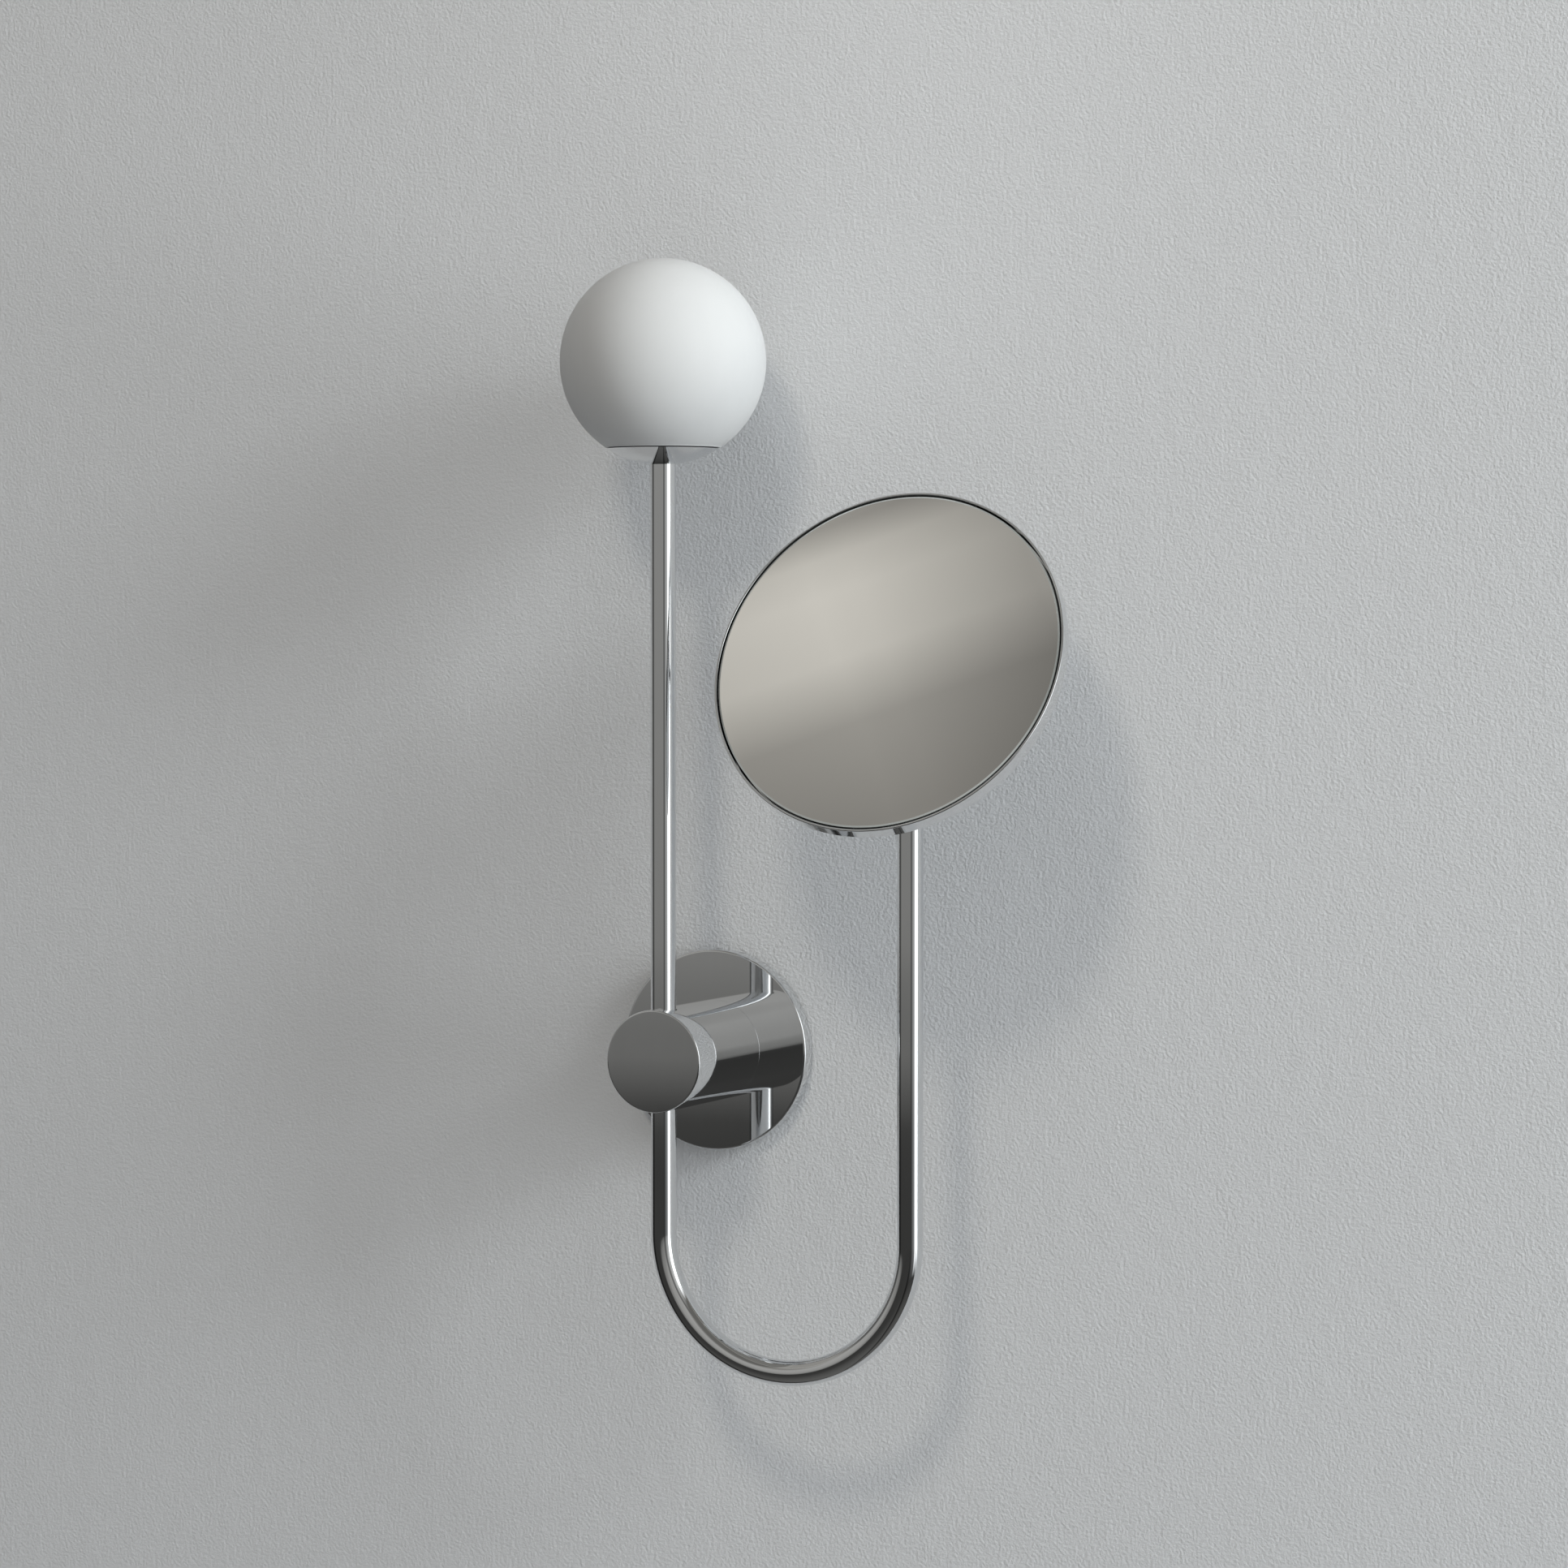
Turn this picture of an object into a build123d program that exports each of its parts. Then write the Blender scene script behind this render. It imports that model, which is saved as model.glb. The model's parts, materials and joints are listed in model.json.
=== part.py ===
from build123d import *
import os
from math import cos, radians, sin, sqrt

# Wall light with an opal globe and a round shaving mirror on one swivelling, U-shaped tube.
# Frame: the origin is the centre of the wall plate on the wall's face, +X to the right,
# +Y into the wall and +Z up. The part stands out from the wall towards -Y. Millimetres.

os.makedirs("parts", exist_ok=True)

# ---------------------------------------------------------------- driving dimensions
# Arm tube
tube_d = 12.5             # outside diameter
tube_wall = 1.25
stand_off = 66.0          # wall to the plane of the bent tube
arm_reach = 130.0         # stem axis to mirror post axis
arm_drop = 84.0           # boss axis down to where the bend starts
wire_hole_r = 2.5         # side hole that lets the lamp wires into the stem
# Globe and its cup
globe_height = 339.0      # boss axis up to the globe's centre
globe_d = 100.0
globe_wall = 3.0
globe_joint_r = 27.5      # radius of the circle where glass and cup meet
globe_neck_h = 8.0
globe_neck_wall = 3.0
globe_neck_inset = 6.0    # joint radius to the neck's bore
cup_wall = 1.5
cup_socket = 1.4          # how deep the tube's end sits in the cup
cup_boss_r = 9.0
gasket_gap = 0.5          # thickness of the ring between glass and cup
gasket_inset = 1.2        # how far the ring stands back from the joint
carrier_wall = 1.5
carrier_floor = 1.8
carrier_drop = 1.0        # top of the neck down to the top of the carrier
nipple_wall = 1.5
nipple_grip = 14.0        # length of nipple brazed into the tube
nipple_stand = 1.0        # nipple's end above its nut
nut_across_flats = 14.0
nut_h = 3.0
# Lamp
bracket_strap = 1.2
bracket_w = 9.0
bracket_foot = 7.0
holder_gap = 1.5          # nipple's end to the bracket's bridge
holder_r = 8.5
holder_h = 16.0
lamp_r = 8.0
lamp_h = 42.0
lamp_base_r = 5.5
lamp_base_h = 5.0
# Wall plate, boss and bracket
plate_d = 100.0
plate_depth = 8.5         # wall to the plate's front face
plate_wall = 1.5
plate_edge_r = 1.2
plate_gasket_t = 0.8
plate_gasket_w = 3.0
plate_gasket_inset = 0.5
stiffener_t = 3.0
stiffener_rim = 5.0       # tie screws' circle to the stiffener's edge
boss_d = 50.0
boss_wall = 3.0
boss_front_wall = 2.5
boss_edge_r = 0.8
strap_t = 1.5             # steel strap screwed to the wall
strap_w = 24.0
strap_hole_r = 10.0
slot_pitch = 60.0         # between the two wall screws
slot_w = 4.6
slot_length = 12.0
lug_w = 16.0
lug_depth = 6.2
lug_gap = 0.5             # strap's corners to the inside of the gasket
plate_screw_sink = 0.3    # grub screw's face below the plate's edge
plate_screw_stand = 1.0   # grub screw's end past its lug
grommet_hole_r = 6.0
grommet_bore_r = 4.2
grommet_lip = 1.3
grommet_lip_t = 1.0
cable_z = 10.0            # height of the cable grommet above the boss axis
earth_screw_z = -18.0
terminal_z = -10.0
terminal_w = 18.0
terminal_h = 11.0
terminal_depth = 12.0
terminal_pole_pitch = 6.2
terminal_bore_r = 1.2
terminal_wire_y = 4.8     # plate's face out to the wire holes
terminal_clamp_z = 2.5    # clamp holes above the block's middle
# Swivel bearing inside the boss
bush_wall = 2.0
block_wall = 11.75        # tube's surface back to the block's rear face
collar_wall = 2.65
collar_h = 14.2
collar_screw_z = 3.2      # the screw sits above the middle and the wire hole below it
collar_screw_reach = 4.7  # how far the screw stands out of the collar as a stop
collar_screw_bite = 0.8   # how far the screw enters the tube's wall
stop_room = 0.5           # extra room for the stop screw to swing in
tie_ring_inset = 4.5
tie_tap_depth = 12.0
tie_grip = 10.0
friction_z = -14.0
friction_pad_r = 3.0
friction_pad_l = 4.0
friction_screw_r = 4.0
disc_spring_t = 0.6
disc_spring_rise = 0.35
disc_spring_count = 3
disc_spring_bore_r = 1.6
friction_screw_inset = 0.5
friction_socket = 3.0
# Mirror post and knuckle
tilt_height = 181.9       # boss axis up to the tilt axis
spindle_r = 3.0
spindle_tap_depth = 8.0
spindle_screw_l = 7.5
spindle_head_gap = 0.8    # screw's head to the tube's bore
post_bush_l = 18.0
post_flange_t = 1.2
washer_t = 0.4
knuckle_h = 4.5
knuckle_r = 9.6
knuckle_edge_h = 1.5
eye_r = 6.0
eye_t = 5.0
eye_gap = 0.4             # eye to the floor between the ears
ear_t = 4.0
tilt_washer_t = 0.6
tilt_washer_r = 5.5
tilt_cap_h = 2.4
tilt_cap_r = 3.8
tilt_cap_wall = 0.7
# Mirror head
mirror_tilt = 25.4        # degrees that the mirror looks up at rest
mirror_d = 175.0
rim_wall = 1.2
housing_back = 1.2
housing_edge_r = 1.5
backing_t = 2.2
pad_t = 0.9
backing_inset = 2.3       # backing plate's edge to the rim
pad_inset = 3.3
glass_t = 4.0
glass_recess = 0.2
glass_gap = 0.9           # dark joint between glass and rim
glass_bevel = 0.8
hub_length = 23.5         # tilt axis to the back of the housing
hub_flange_r = 18.0
hub_flange_t = 2.5
hub_neck_h = 8.4
hub_cone_r = 7.0
hub_cone_h = 4.0
hub_cone_taper = 20.0     # degrees
hub_screw_ring = 12.5
hub_socket = 1.0
# Fasteners
m3_r = 1.5
m4_r = 2.0
head_h = 2.2
m3_head_h = 1.6
small_head_h = 1.4
m4_head_r = 3.4
m3_head_r = 2.25
terminal_head_r = 2.1
hub_head_r = 2.7
slot_cut_w = 0.6
socket_depth = 2.0
screw_end_gap = 0.2       # shank's end to the far face of its hole
# Clearances
running = 0.05            # radial, shaft in bush
fit = 0.02                # radial, pressed or tapped
free = 0.35               # clear of a moving part
face_gap = 0.1            # between faces that turn on each other
screw_clear = 0.2         # radial, screw in a plain hole

# ---------------------------------------------------------------- worked-out dimensions
tube_r = tube_d / 2
tube_bore_r = tube_r - tube_wall
bend_r = arm_reach / 2
globe_r = globe_d / 2
plate_r = plate_d / 2
boss_r = boss_d / 2
boss_bore_r = boss_r - boss_wall
mirror_r = mirror_d / 2

bush_r = tube_r + bush_wall + fit
collar_r = tube_r + collar_wall
block_back = tube_r + block_wall
pocket_h = collar_h + 2 * face_gap
pocket_w = 2 * (collar_r + free + face_gap)
collar_screw_end = collar_r + collar_screw_reach
stop_w = 2 * (collar_screw_end + free + stop_room)
block_r = boss_bore_r - face_gap
block_rear = stand_off - block_back
boss_inside = stand_off + collar_r + 2 * free - face_gap
boss_front = boss_inside + boss_front_wall
tie_ring = boss_bore_r - tie_ring_inset
stiffener_r = tie_ring + stiffener_rim
stiffener_back = plate_depth - plate_wall - stiffener_t

cup_bottom = globe_height - globe_r
joint_z = globe_height - sqrt(globe_r ** 2 - globe_joint_r ** 2)
glass_edge_z = joint_z + gasket_gap / 2
cup_rim_z = joint_z - gasket_gap / 2
tube_top = cup_bottom + cup_socket
neck_bore_r = globe_joint_r - globe_neck_inset
carrier_r = neck_bore_r - screw_clear
carrier_z = globe_height - sqrt((globe_r - cup_wall) ** 2 - carrier_r ** 2) + screw_clear
carrier_top = glass_edge_z + globe_neck_h - carrier_drop
nut_z = carrier_z + carrier_floor
nipple_r = tube_bore_r - fit
nipple_top = nut_z + nut_h + nipple_stand
holder_z = nipple_top + holder_gap + bracket_strap
strap_foot_end = sqrt((carrier_r - carrier_wall) ** 2 - (bracket_w / 2) ** 2) - bracket_strap
strap_foot_x = strap_foot_end - bracket_foot / 2
strap_leg_x = strap_foot_end - bracket_foot

fork_gap = eye_t + 2 * (tilt_washer_t + face_gap)
ear_face = fork_gap / 2 + ear_t
tilt_pin_end = -ear_face - tilt_cap_h + tilt_cap_wall + face_gap
knuckle_top = tilt_height - eye_r - eye_gap
knuckle_z = knuckle_top - knuckle_h
post_top = knuckle_z - face_gap - washer_t - post_flange_t
housing_depth = housing_back + backing_t + pad_t + glass_t + glass_recess

POST = Axis((arm_reach, -stand_off, 0), (0, 0, 1))
ARM_PLANE = Plane.XZ.offset(stand_off)      # sketch x is X, sketch y is Z
TILT_POINT = (arm_reach, -stand_off, tilt_height)
LOOK = (0, -cos(radians(mirror_tilt)), sin(radians(mirror_tilt)))
MIRROR = Plane(origin=TILT_POINT, x_dir=(1, 0, 0), z_dir=LOOK)
BOLT_PLANE = Plane(origin=TILT_POINT, x_dir=(0, 1, 0), z_dir=(1, 0, 0))


def in_front(distance):
    """Plane parallel to the wall that many millimetres in front of it, facing outwards."""
    return Plane.XZ.offset(distance)


def level(height, x=0.0):
    """Horizontal plane at a height, centred on the vertical tube axis that stands at x."""
    return Plane(origin=(x, -stand_off, height), x_dir=(1, 0, 0), z_dir=(0, 0, 1))


# ---------------------------------------------------------------- wall bracket and plate
gasket_r = plate_r - plate_gasket_inset
lug_face = sqrt((gasket_r - plate_gasket_w - lug_gap) ** 2 - (strap_w / 2) ** 2)
lug_z = lug_face - strap_t / 2
plate_screw_y = (plate_gasket_t + plate_depth - plate_wall) / 2
plate_screw_end = lug_face - strap_t - plate_screw_stand

with BuildPart() as wall_bracket:
    with BuildSketch(in_front(0)):
        Rectangle(strap_w, 2 * lug_face)
        Circle(strap_hole_r, mode=Mode.SUBTRACT)
        with Locations((0, slot_pitch / 2), (0, -slot_pitch / 2)):
            SlotOverall(slot_length, slot_w, rotation=90, mode=Mode.SUBTRACT)
        with Locations((0, earth_screw_z)):
            Circle(m4_r + fit, mode=Mode.SUBTRACT)
    extrude(amount=strap_t)
    with BuildSketch(in_front(0)):
        with Locations((0, lug_z), (0, -lug_z)):
            Rectangle(lug_w, strap_t)
    extrude(amount=lug_depth)
    with BuildSketch(Plane.XY.offset(-plate_r)):
        with Locations((0, -plate_screw_y)):
            Circle(m4_r + fit)
    extrude(amount=plate_d, mode=Mode.SUBTRACT)
wall_bracket.part.label = "wall_bracket"
export_step(wall_bracket.part, "parts/wall_bracket.step")

with BuildPart() as earth_screw:
    with BuildSketch(in_front(screw_end_gap)):
        with Locations((0, earth_screw_z)):
            Circle(m4_r)
    extrude(amount=strap_t)
    with BuildSketch(in_front(strap_t)):
        with Locations((0, earth_screw_z)):
            Circle(m4_head_r)
    extrude(amount=head_h)
    with BuildSketch(in_front(strap_t + head_h)):
        with Locations((0, earth_screw_z)):
            Rectangle(2 * m4_head_r - head_h / 2, slot_cut_w)
            Rectangle(slot_cut_w, 2 * m4_head_r - head_h / 2)
    extrude(amount=-0.5 * head_h, mode=Mode.SUBTRACT)
earth_screw.part.label = "earth_screw"
export_step(earth_screw.part, "parts/earth_screw.step")

with BuildPart() as plate_gasket:
    with BuildSketch(in_front(0)):
        Circle(gasket_r)
        Circle(gasket_r - plate_gasket_w, mode=Mode.SUBTRACT)
    extrude(amount=plate_gasket_t)
plate_gasket.part.label = "plate_gasket"
export_step(plate_gasket.part, "parts/plate_gasket.step")

with BuildPart() as wall_plate:
    with BuildSketch(in_front(plate_gasket_t)):
        Circle(plate_r)
    extrude(amount=plate_depth - plate_gasket_t)
    fillet(wall_plate.edges().group_by(Axis.Y)[0], plate_edge_r)
    with BuildSketch(in_front(plate_gasket_t)):
        Circle(plate_r - plate_wall)
    extrude(amount=plate_depth - plate_wall - plate_gasket_t, mode=Mode.SUBTRACT)
    with BuildSketch(in_front(plate_gasket_t)):
        with PolarLocations(tie_ring, 4, start_angle=45):
            Circle(m4_r + screw_clear)
        with Locations((0, cable_z)):
            Circle(grommet_hole_r)
        with Locations((terminal_pole_pitch / 2, terminal_z)):
            Circle(m3_r + fit)
    extrude(amount=plate_depth, mode=Mode.SUBTRACT)
    with BuildSketch(Plane.XY.offset(-plate_r)):
        with Locations((0, -plate_screw_y)):
            Circle(m4_r + screw_clear)
    extrude(amount=plate_d, mode=Mode.SUBTRACT)
wall_plate.part.label = "wall_plate"
export_step(wall_plate.part, "parts/wall_plate.step")

with BuildPart() as plate_screws:
    with BuildSketch(Plane.XY.offset(plate_screw_end)):
        with Locations((0, -plate_screw_y)):
            Circle(m4_r)
    extrude(amount=plate_r - plate_screw_sink - plate_screw_end)
    with BuildSketch(Plane.XY.offset(plate_r - plate_screw_sink)):
        with Locations((0, -plate_screw_y)):
            RegularPolygon(m4_r / 2, 6)
    extrude(amount=-socket_depth, mode=Mode.SUBTRACT)
    mirror(about=Plane.XY)
plate_screws.part.label = "plate_screws"
export_step(plate_screws.part, "parts/plate_screws.step")

with BuildPart() as stiffener:
    with BuildSketch(in_front(stiffener_back)):
        Circle(stiffener_r)
        with PolarLocations(tie_ring, 4, start_angle=45):
            Circle(m4_r + screw_clear, mode=Mode.SUBTRACT)
        with Locations((0, cable_z)):
            Circle(grommet_hole_r, mode=Mode.SUBTRACT)
        with Locations((terminal_pole_pitch / 2, terminal_z)):
            Circle(m3_r + fit, mode=Mode.SUBTRACT)
    extrude(amount=stiffener_t)
stiffener.part.label = "stiffener"
export_step(stiffener.part, "parts/stiffener.step")

with BuildPart() as cable_grommet:
    with BuildSketch(in_front(stiffener_back - grommet_lip_t)):
        with Locations((0, cable_z)):
            Circle(grommet_hole_r + grommet_lip)
    extrude(amount=stiffener_t + plate_wall + 2 * grommet_lip_t)
    with BuildSketch(in_front(stiffener_back)):
        with Locations((0, cable_z)):
            Circle(grommet_hole_r + 2 * grommet_lip)
            Circle(grommet_hole_r - fit, mode=Mode.SUBTRACT)
    extrude(amount=stiffener_t + plate_wall, mode=Mode.SUBTRACT)
    with BuildSketch(in_front(stiffener_back - grommet_lip_t)):
        with Locations((0, cable_z)):
            Circle(grommet_bore_r)
    extrude(amount=stiffener_t + plate_wall + 2 * grommet_lip_t, mode=Mode.SUBTRACT)
cable_grommet.part.label = "cable_grommet"
export_step(cable_grommet.part, "parts/cable_grommet.step")

pole_x = [-terminal_pole_pitch, 0, terminal_pole_pitch]
terminal_front = plate_depth + terminal_depth
terminal_screw_end = stiffener_back + screw_end_gap

with BuildPart() as terminal_block:
    with BuildSketch(in_front(plate_depth)):
        with Locations((0, terminal_z)):
            Rectangle(terminal_w, terminal_h)
        with Locations((terminal_pole_pitch / 2, terminal_z)):
            Circle(m3_r + fit, mode=Mode.SUBTRACT)
    extrude(amount=terminal_depth)
    fillet(terminal_block.edges().filter_by(Axis.Y).group_by(Axis.X)[0], 1.0)
    with BuildSketch(Plane.XY.offset(terminal_z - terminal_h / 2)):
        with Locations([(x, -plate_depth - terminal_wire_y) for x in pole_x]):
            Circle(terminal_bore_r)
    extrude(amount=terminal_h, mode=Mode.SUBTRACT)
    with BuildSketch(in_front(terminal_front)):
        with Locations([(x, terminal_z + terminal_clamp_z) for x in pole_x]):
            Circle(terminal_bore_r)
    extrude(amount=-0.5 * terminal_depth, mode=Mode.SUBTRACT)
terminal_block.part.label = "terminal_block"
export_step(terminal_block.part, "parts/terminal_block.step")

with BuildPart() as terminal_screw:
    with BuildSketch(in_front(terminal_screw_end)):
        with Locations((terminal_pole_pitch / 2, terminal_z)):
            Circle(m3_r)
    extrude(amount=terminal_front - terminal_screw_end)
    with BuildSketch(in_front(terminal_front)):
        with Locations((terminal_pole_pitch / 2, terminal_z)):
            Circle(terminal_head_r)
            Rectangle(2 * m3_r, slot_cut_w, mode=Mode.SUBTRACT)
    extrude(amount=small_head_h)
terminal_screw.part.label = "terminal_screw"
export_step(terminal_screw.part, "parts/terminal_screw.step")

# ---------------------------------------------------------------- boss and swivel bearing
with BuildPart() as boss:
    with BuildSketch(in_front(plate_depth)):
        Circle(boss_r)
    extrude(amount=boss_front - plate_depth)
    fillet(boss.edges().group_by(Axis.Y)[0], boss_edge_r)
    with BuildSketch(in_front(plate_depth)):
        Circle(boss_bore_r)
    extrude(amount=boss_inside - plate_depth, mode=Mode.SUBTRACT)
    with BuildSketch(level(-boss_r)):
        Circle(tube_r + free)
    extrude(amount=boss_d, mode=Mode.SUBTRACT)
boss.part.label = "boss"
export_step(boss.part, "parts/boss.step")

with BuildPart() as swivel_block:
    with BuildSketch(in_front(block_rear)):
        Circle(block_r)
    extrude(amount=boss_inside - block_rear)
    with BuildSketch(level(-boss_r)):
        Circle(bush_r)
    extrude(amount=boss_d, mode=Mode.SUBTRACT)
    with BuildSketch(in_front(block_rear)):
        Rectangle(pocket_w, pocket_h)
    extrude(amount=boss_inside - block_rear, mode=Mode.SUBTRACT)
    with BuildSketch(in_front(block_rear)):
        Rectangle(stop_w, pocket_h)
    extrude(amount=block_back + m4_r + 1.5 * face_gap, mode=Mode.SUBTRACT)
    with BuildSketch(in_front(block_rear)):
        with PolarLocations(tie_ring, 4, start_angle=45):
            Circle(m4_r + fit)
    extrude(amount=tie_tap_depth, mode=Mode.SUBTRACT)
    with BuildSketch(in_front(block_rear)):
        with Locations((0, friction_z)):
            Circle(friction_pad_r + running)
    extrude(amount=block_back, mode=Mode.SUBTRACT)
    with BuildSketch(in_front(block_rear)):
        with Locations((0, friction_z)):
            Circle(friction_screw_r + fit)
    extrude(amount=block_back - tube_r - face_gap - friction_pad_l, mode=Mode.SUBTRACT)
swivel_block.part.label = "swivel_block"
export_step(swivel_block.part, "parts/swivel_block.step")

bush_end = sqrt(block_r ** 2 - bush_r ** 2) - 2 * face_gap
bush_length = bush_end - pocket_h / 2

with BuildPart() as upper_bush:
    with BuildSketch(level(pocket_h / 2)):
        Circle(bush_r - fit)
        Circle(tube_r + running, mode=Mode.SUBTRACT)
    extrude(amount=bush_length)
upper_bush.part.label = "upper_bush"
export_step(upper_bush.part, "parts/upper_bush.step")

with BuildPart() as lower_bush:
    with BuildSketch(level(-bush_end)):
        Circle(bush_r - fit)
        Circle(tube_r + running, mode=Mode.SUBTRACT)
    extrude(amount=bush_length)
    with BuildSketch(in_front(block_rear)):
        with Locations((0, friction_z)):
            Circle(friction_pad_r + running)
    extrude(amount=block_back, mode=Mode.SUBTRACT)
lower_bush.part.label = "lower_bush"
export_step(lower_bush.part, "parts/lower_bush.step")

pad_face = stand_off - tube_r - face_gap
pad_back = pad_face - friction_pad_l

with BuildPart() as friction_pad:
    with BuildSketch(in_front(pad_back)):
        with Locations((0, friction_z)):
            Circle(friction_pad_r)
    extrude(amount=friction_pad_l)
friction_pad.part.label = "friction_pad"
export_step(friction_pad.part, "parts/friction_pad.step")

disc_pitch = disc_spring_t + disc_spring_rise + face_gap / 2
disc_spring_r = friction_screw_r - screw_clear
FRICTION_SECTION = Plane(origin=(0, 0, friction_z), x_dir=(1, 0, 0), z_dir=(0, 0, 1))

with BuildPart() as disc_springs:
    for index in range(disc_spring_count):
        back_y = -(pad_back - index * disc_pitch - fit)
        with BuildSketch(FRICTION_SECTION):
            with BuildLine():
                Polyline(
                    (disc_spring_bore_r, back_y + disc_spring_rise),
                    (disc_spring_r, back_y),
                    (disc_spring_r, back_y + disc_spring_t),
                    (disc_spring_bore_r, back_y + disc_spring_t + disc_spring_rise),
                    close=True,
                )
            make_face()
        revolve(axis=Axis((0, 0, friction_z), (0, 1, 0)))
disc_springs.part.label = "disc_springs"
export_step(disc_springs.part, "parts/disc_springs.step")

friction_screw_front = pad_back - disc_spring_count * disc_pitch
friction_screw_back = block_rear + friction_screw_inset

with BuildPart() as friction_screw:
    with BuildSketch(in_front(friction_screw_back)):
        with Locations((0, friction_z)):
            Circle(friction_screw_r)
            RegularPolygon(friction_screw_r / 2, 6, mode=Mode.SUBTRACT)
    extrude(amount=friction_socket)
    with BuildSketch(in_front(friction_screw_back + friction_socket)):
        with Locations((0, friction_z)):
            Circle(friction_screw_r)
    extrude(amount=friction_screw_front - friction_screw_back - friction_socket)
friction_screw.part.label = "friction_screw"
export_step(friction_screw.part, "parts/friction_screw.step")

with BuildPart() as tie_screws:
    with BuildSketch(in_front(stiffener_back - head_h)):
        with PolarLocations(tie_ring, 4, start_angle=45):
            Circle(m4_head_r)
            RegularPolygon(0.6 * m4_r, 6, mode=Mode.SUBTRACT)
    extrude(amount=0.6 * head_h)
    with BuildSketch(in_front(stiffener_back - 0.4 * head_h)):
        with PolarLocations(tie_ring, 4, start_angle=45):
            Circle(m4_head_r)
    extrude(amount=0.4 * head_h)
    with BuildSketch(in_front(stiffener_back)):
        with PolarLocations(tie_ring, 4, start_angle=45):
            Circle(m4_r)
    extrude(amount=block_rear + tie_grip - stiffener_back)
tie_screws.part.label = "tie_screws"
export_step(tie_screws.part, "parts/tie_screws.step")

# ---------------------------------------------------------------- arm tube and its collar
WIRE_PLANE = Plane(origin=(0, -stand_off, 0), x_dir=(0, -1, 0), z_dir=(-1, 0, 0))

with BuildPart() as arm_tube:
    with BuildLine(ARM_PLANE) as arm_path:
        Line((0, tube_top), (0, -arm_drop))
        ThreePointArc((0, -arm_drop), (bend_r, -arm_drop - bend_r), (arm_reach, -arm_drop))
        Line((arm_reach, -arm_drop), (arm_reach, post_top))
    with BuildSketch(level(tube_top)):
        Circle(tube_r)
    sweep(path=arm_path.wires()[0])
    with BuildSketch(level(tube_top)):
        Circle(tube_bore_r)
    sweep(path=arm_path.wires()[0], mode=Mode.SUBTRACT)
    with BuildSketch(WIRE_PLANE):
        with Locations((0, collar_screw_z)):
            Circle(m4_r + fit)
        with Locations((0, -collar_screw_z)):
            Circle(wire_hole_r)
    extrude(amount=tube_r, mode=Mode.SUBTRACT)
arm_tube.part.label = "arm_tube"
export_step(arm_tube.part, "parts/arm_tube.step")

with BuildPart() as stem_collar:
    with BuildSketch(level(-collar_h / 2)):
        Circle(collar_r)
        Circle(tube_r + fit, mode=Mode.SUBTRACT)
    extrude(amount=collar_h)
    with BuildSketch(WIRE_PLANE):
        with Locations((0, collar_screw_z)):
            Circle(m4_r + fit)
        with Locations((0, -collar_screw_z)):
            Circle(wire_hole_r)
    extrude(amount=collar_r, mode=Mode.SUBTRACT)
stem_collar.part.label = "stem_collar"
export_step(stem_collar.part, "parts/stem_collar.step")

with BuildPart() as stop_screw:
    with BuildSketch(WIRE_PLANE.offset(tube_r - collar_screw_bite)):
        with Locations((0, collar_screw_z)):
            Circle(m4_r)
    extrude(amount=collar_screw_end - tube_r + collar_screw_bite)
    with BuildSketch(WIRE_PLANE.offset(collar_screw_end)):
        with Locations((0, collar_screw_z)):
            RegularPolygon(0.6 * m4_r, 6)
    extrude(amount=-socket_depth, mode=Mode.SUBTRACT)
stop_screw.part.label = "stop_screw"
export_step(stop_screw.part, "parts/stop_screw.step")

# ---------------------------------------------------------------- globe, cup and lamp
with BuildPart() as stem_nipple:
    with BuildSketch(level(tube_top - nipple_grip)):
        Circle(nipple_r)
        Circle(nipple_r - nipple_wall, mode=Mode.SUBTRACT)
    extrude(amount=nipple_top - tube_top + nipple_grip)
stem_nipple.part.label = "stem_nipple"
export_step(stem_nipple.part, "parts/stem_nipple.step")

with BuildPart() as globe_cup:
    with Locations((0, -stand_off, globe_height)):
        Sphere(globe_r)
        Sphere(globe_r - cup_wall, mode=Mode.SUBTRACT)
    with BuildSketch(level(cup_rim_z)):
        Rectangle(2 * globe_d, 2 * globe_d)
    extrude(amount=globe_d, mode=Mode.SUBTRACT)
    with BuildSketch(level(cup_bottom + cup_wall / 2)):
        Circle(cup_boss_r)
    extrude(amount=carrier_z - cup_bottom - cup_wall / 2)
    with Locations((0, -stand_off, globe_height)):
        Sphere(globe_r, mode=Mode.INTERSECT)
    with BuildSketch(level(cup_bottom - 1)):
        Circle(nipple_r + fit)
    extrude(amount=globe_r, mode=Mode.SUBTRACT)
    with BuildSketch(level(tube_top)):
        Circle(tube_r + fit)
    extrude(amount=-2 * cup_socket, mode=Mode.SUBTRACT)
globe_cup.part.label = "globe_cup"
export_step(globe_cup.part, "parts/globe_cup.step")

with BuildPart() as globe_carrier:
    with BuildSketch(level(carrier_z)):
        Circle(carrier_r)
        Circle(nipple_r + fit, mode=Mode.SUBTRACT)
        with Locations((strap_foot_x, 0), (-strap_foot_x, 0)):
            Circle(m3_r + fit, mode=Mode.SUBTRACT)
    extrude(amount=carrier_floor)
    with BuildSketch(level(nut_z)):
        Circle(carrier_r)
        Circle(carrier_r - carrier_wall, mode=Mode.SUBTRACT)
    extrude(amount=carrier_top - nut_z)
globe_carrier.part.label = "globe_carrier"
export_step(globe_carrier.part, "parts/globe_carrier.step")

with BuildPart() as cup_nut:
    with BuildSketch(level(nut_z)):
        RegularPolygon(nut_across_flats / 2, 6, major_radius=False)
        Circle(nipple_r + fit, mode=Mode.SUBTRACT)
    extrude(amount=nut_h)
cup_nut.part.label = "cup_nut"
export_step(cup_nut.part, "parts/cup_nut.step")

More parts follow.
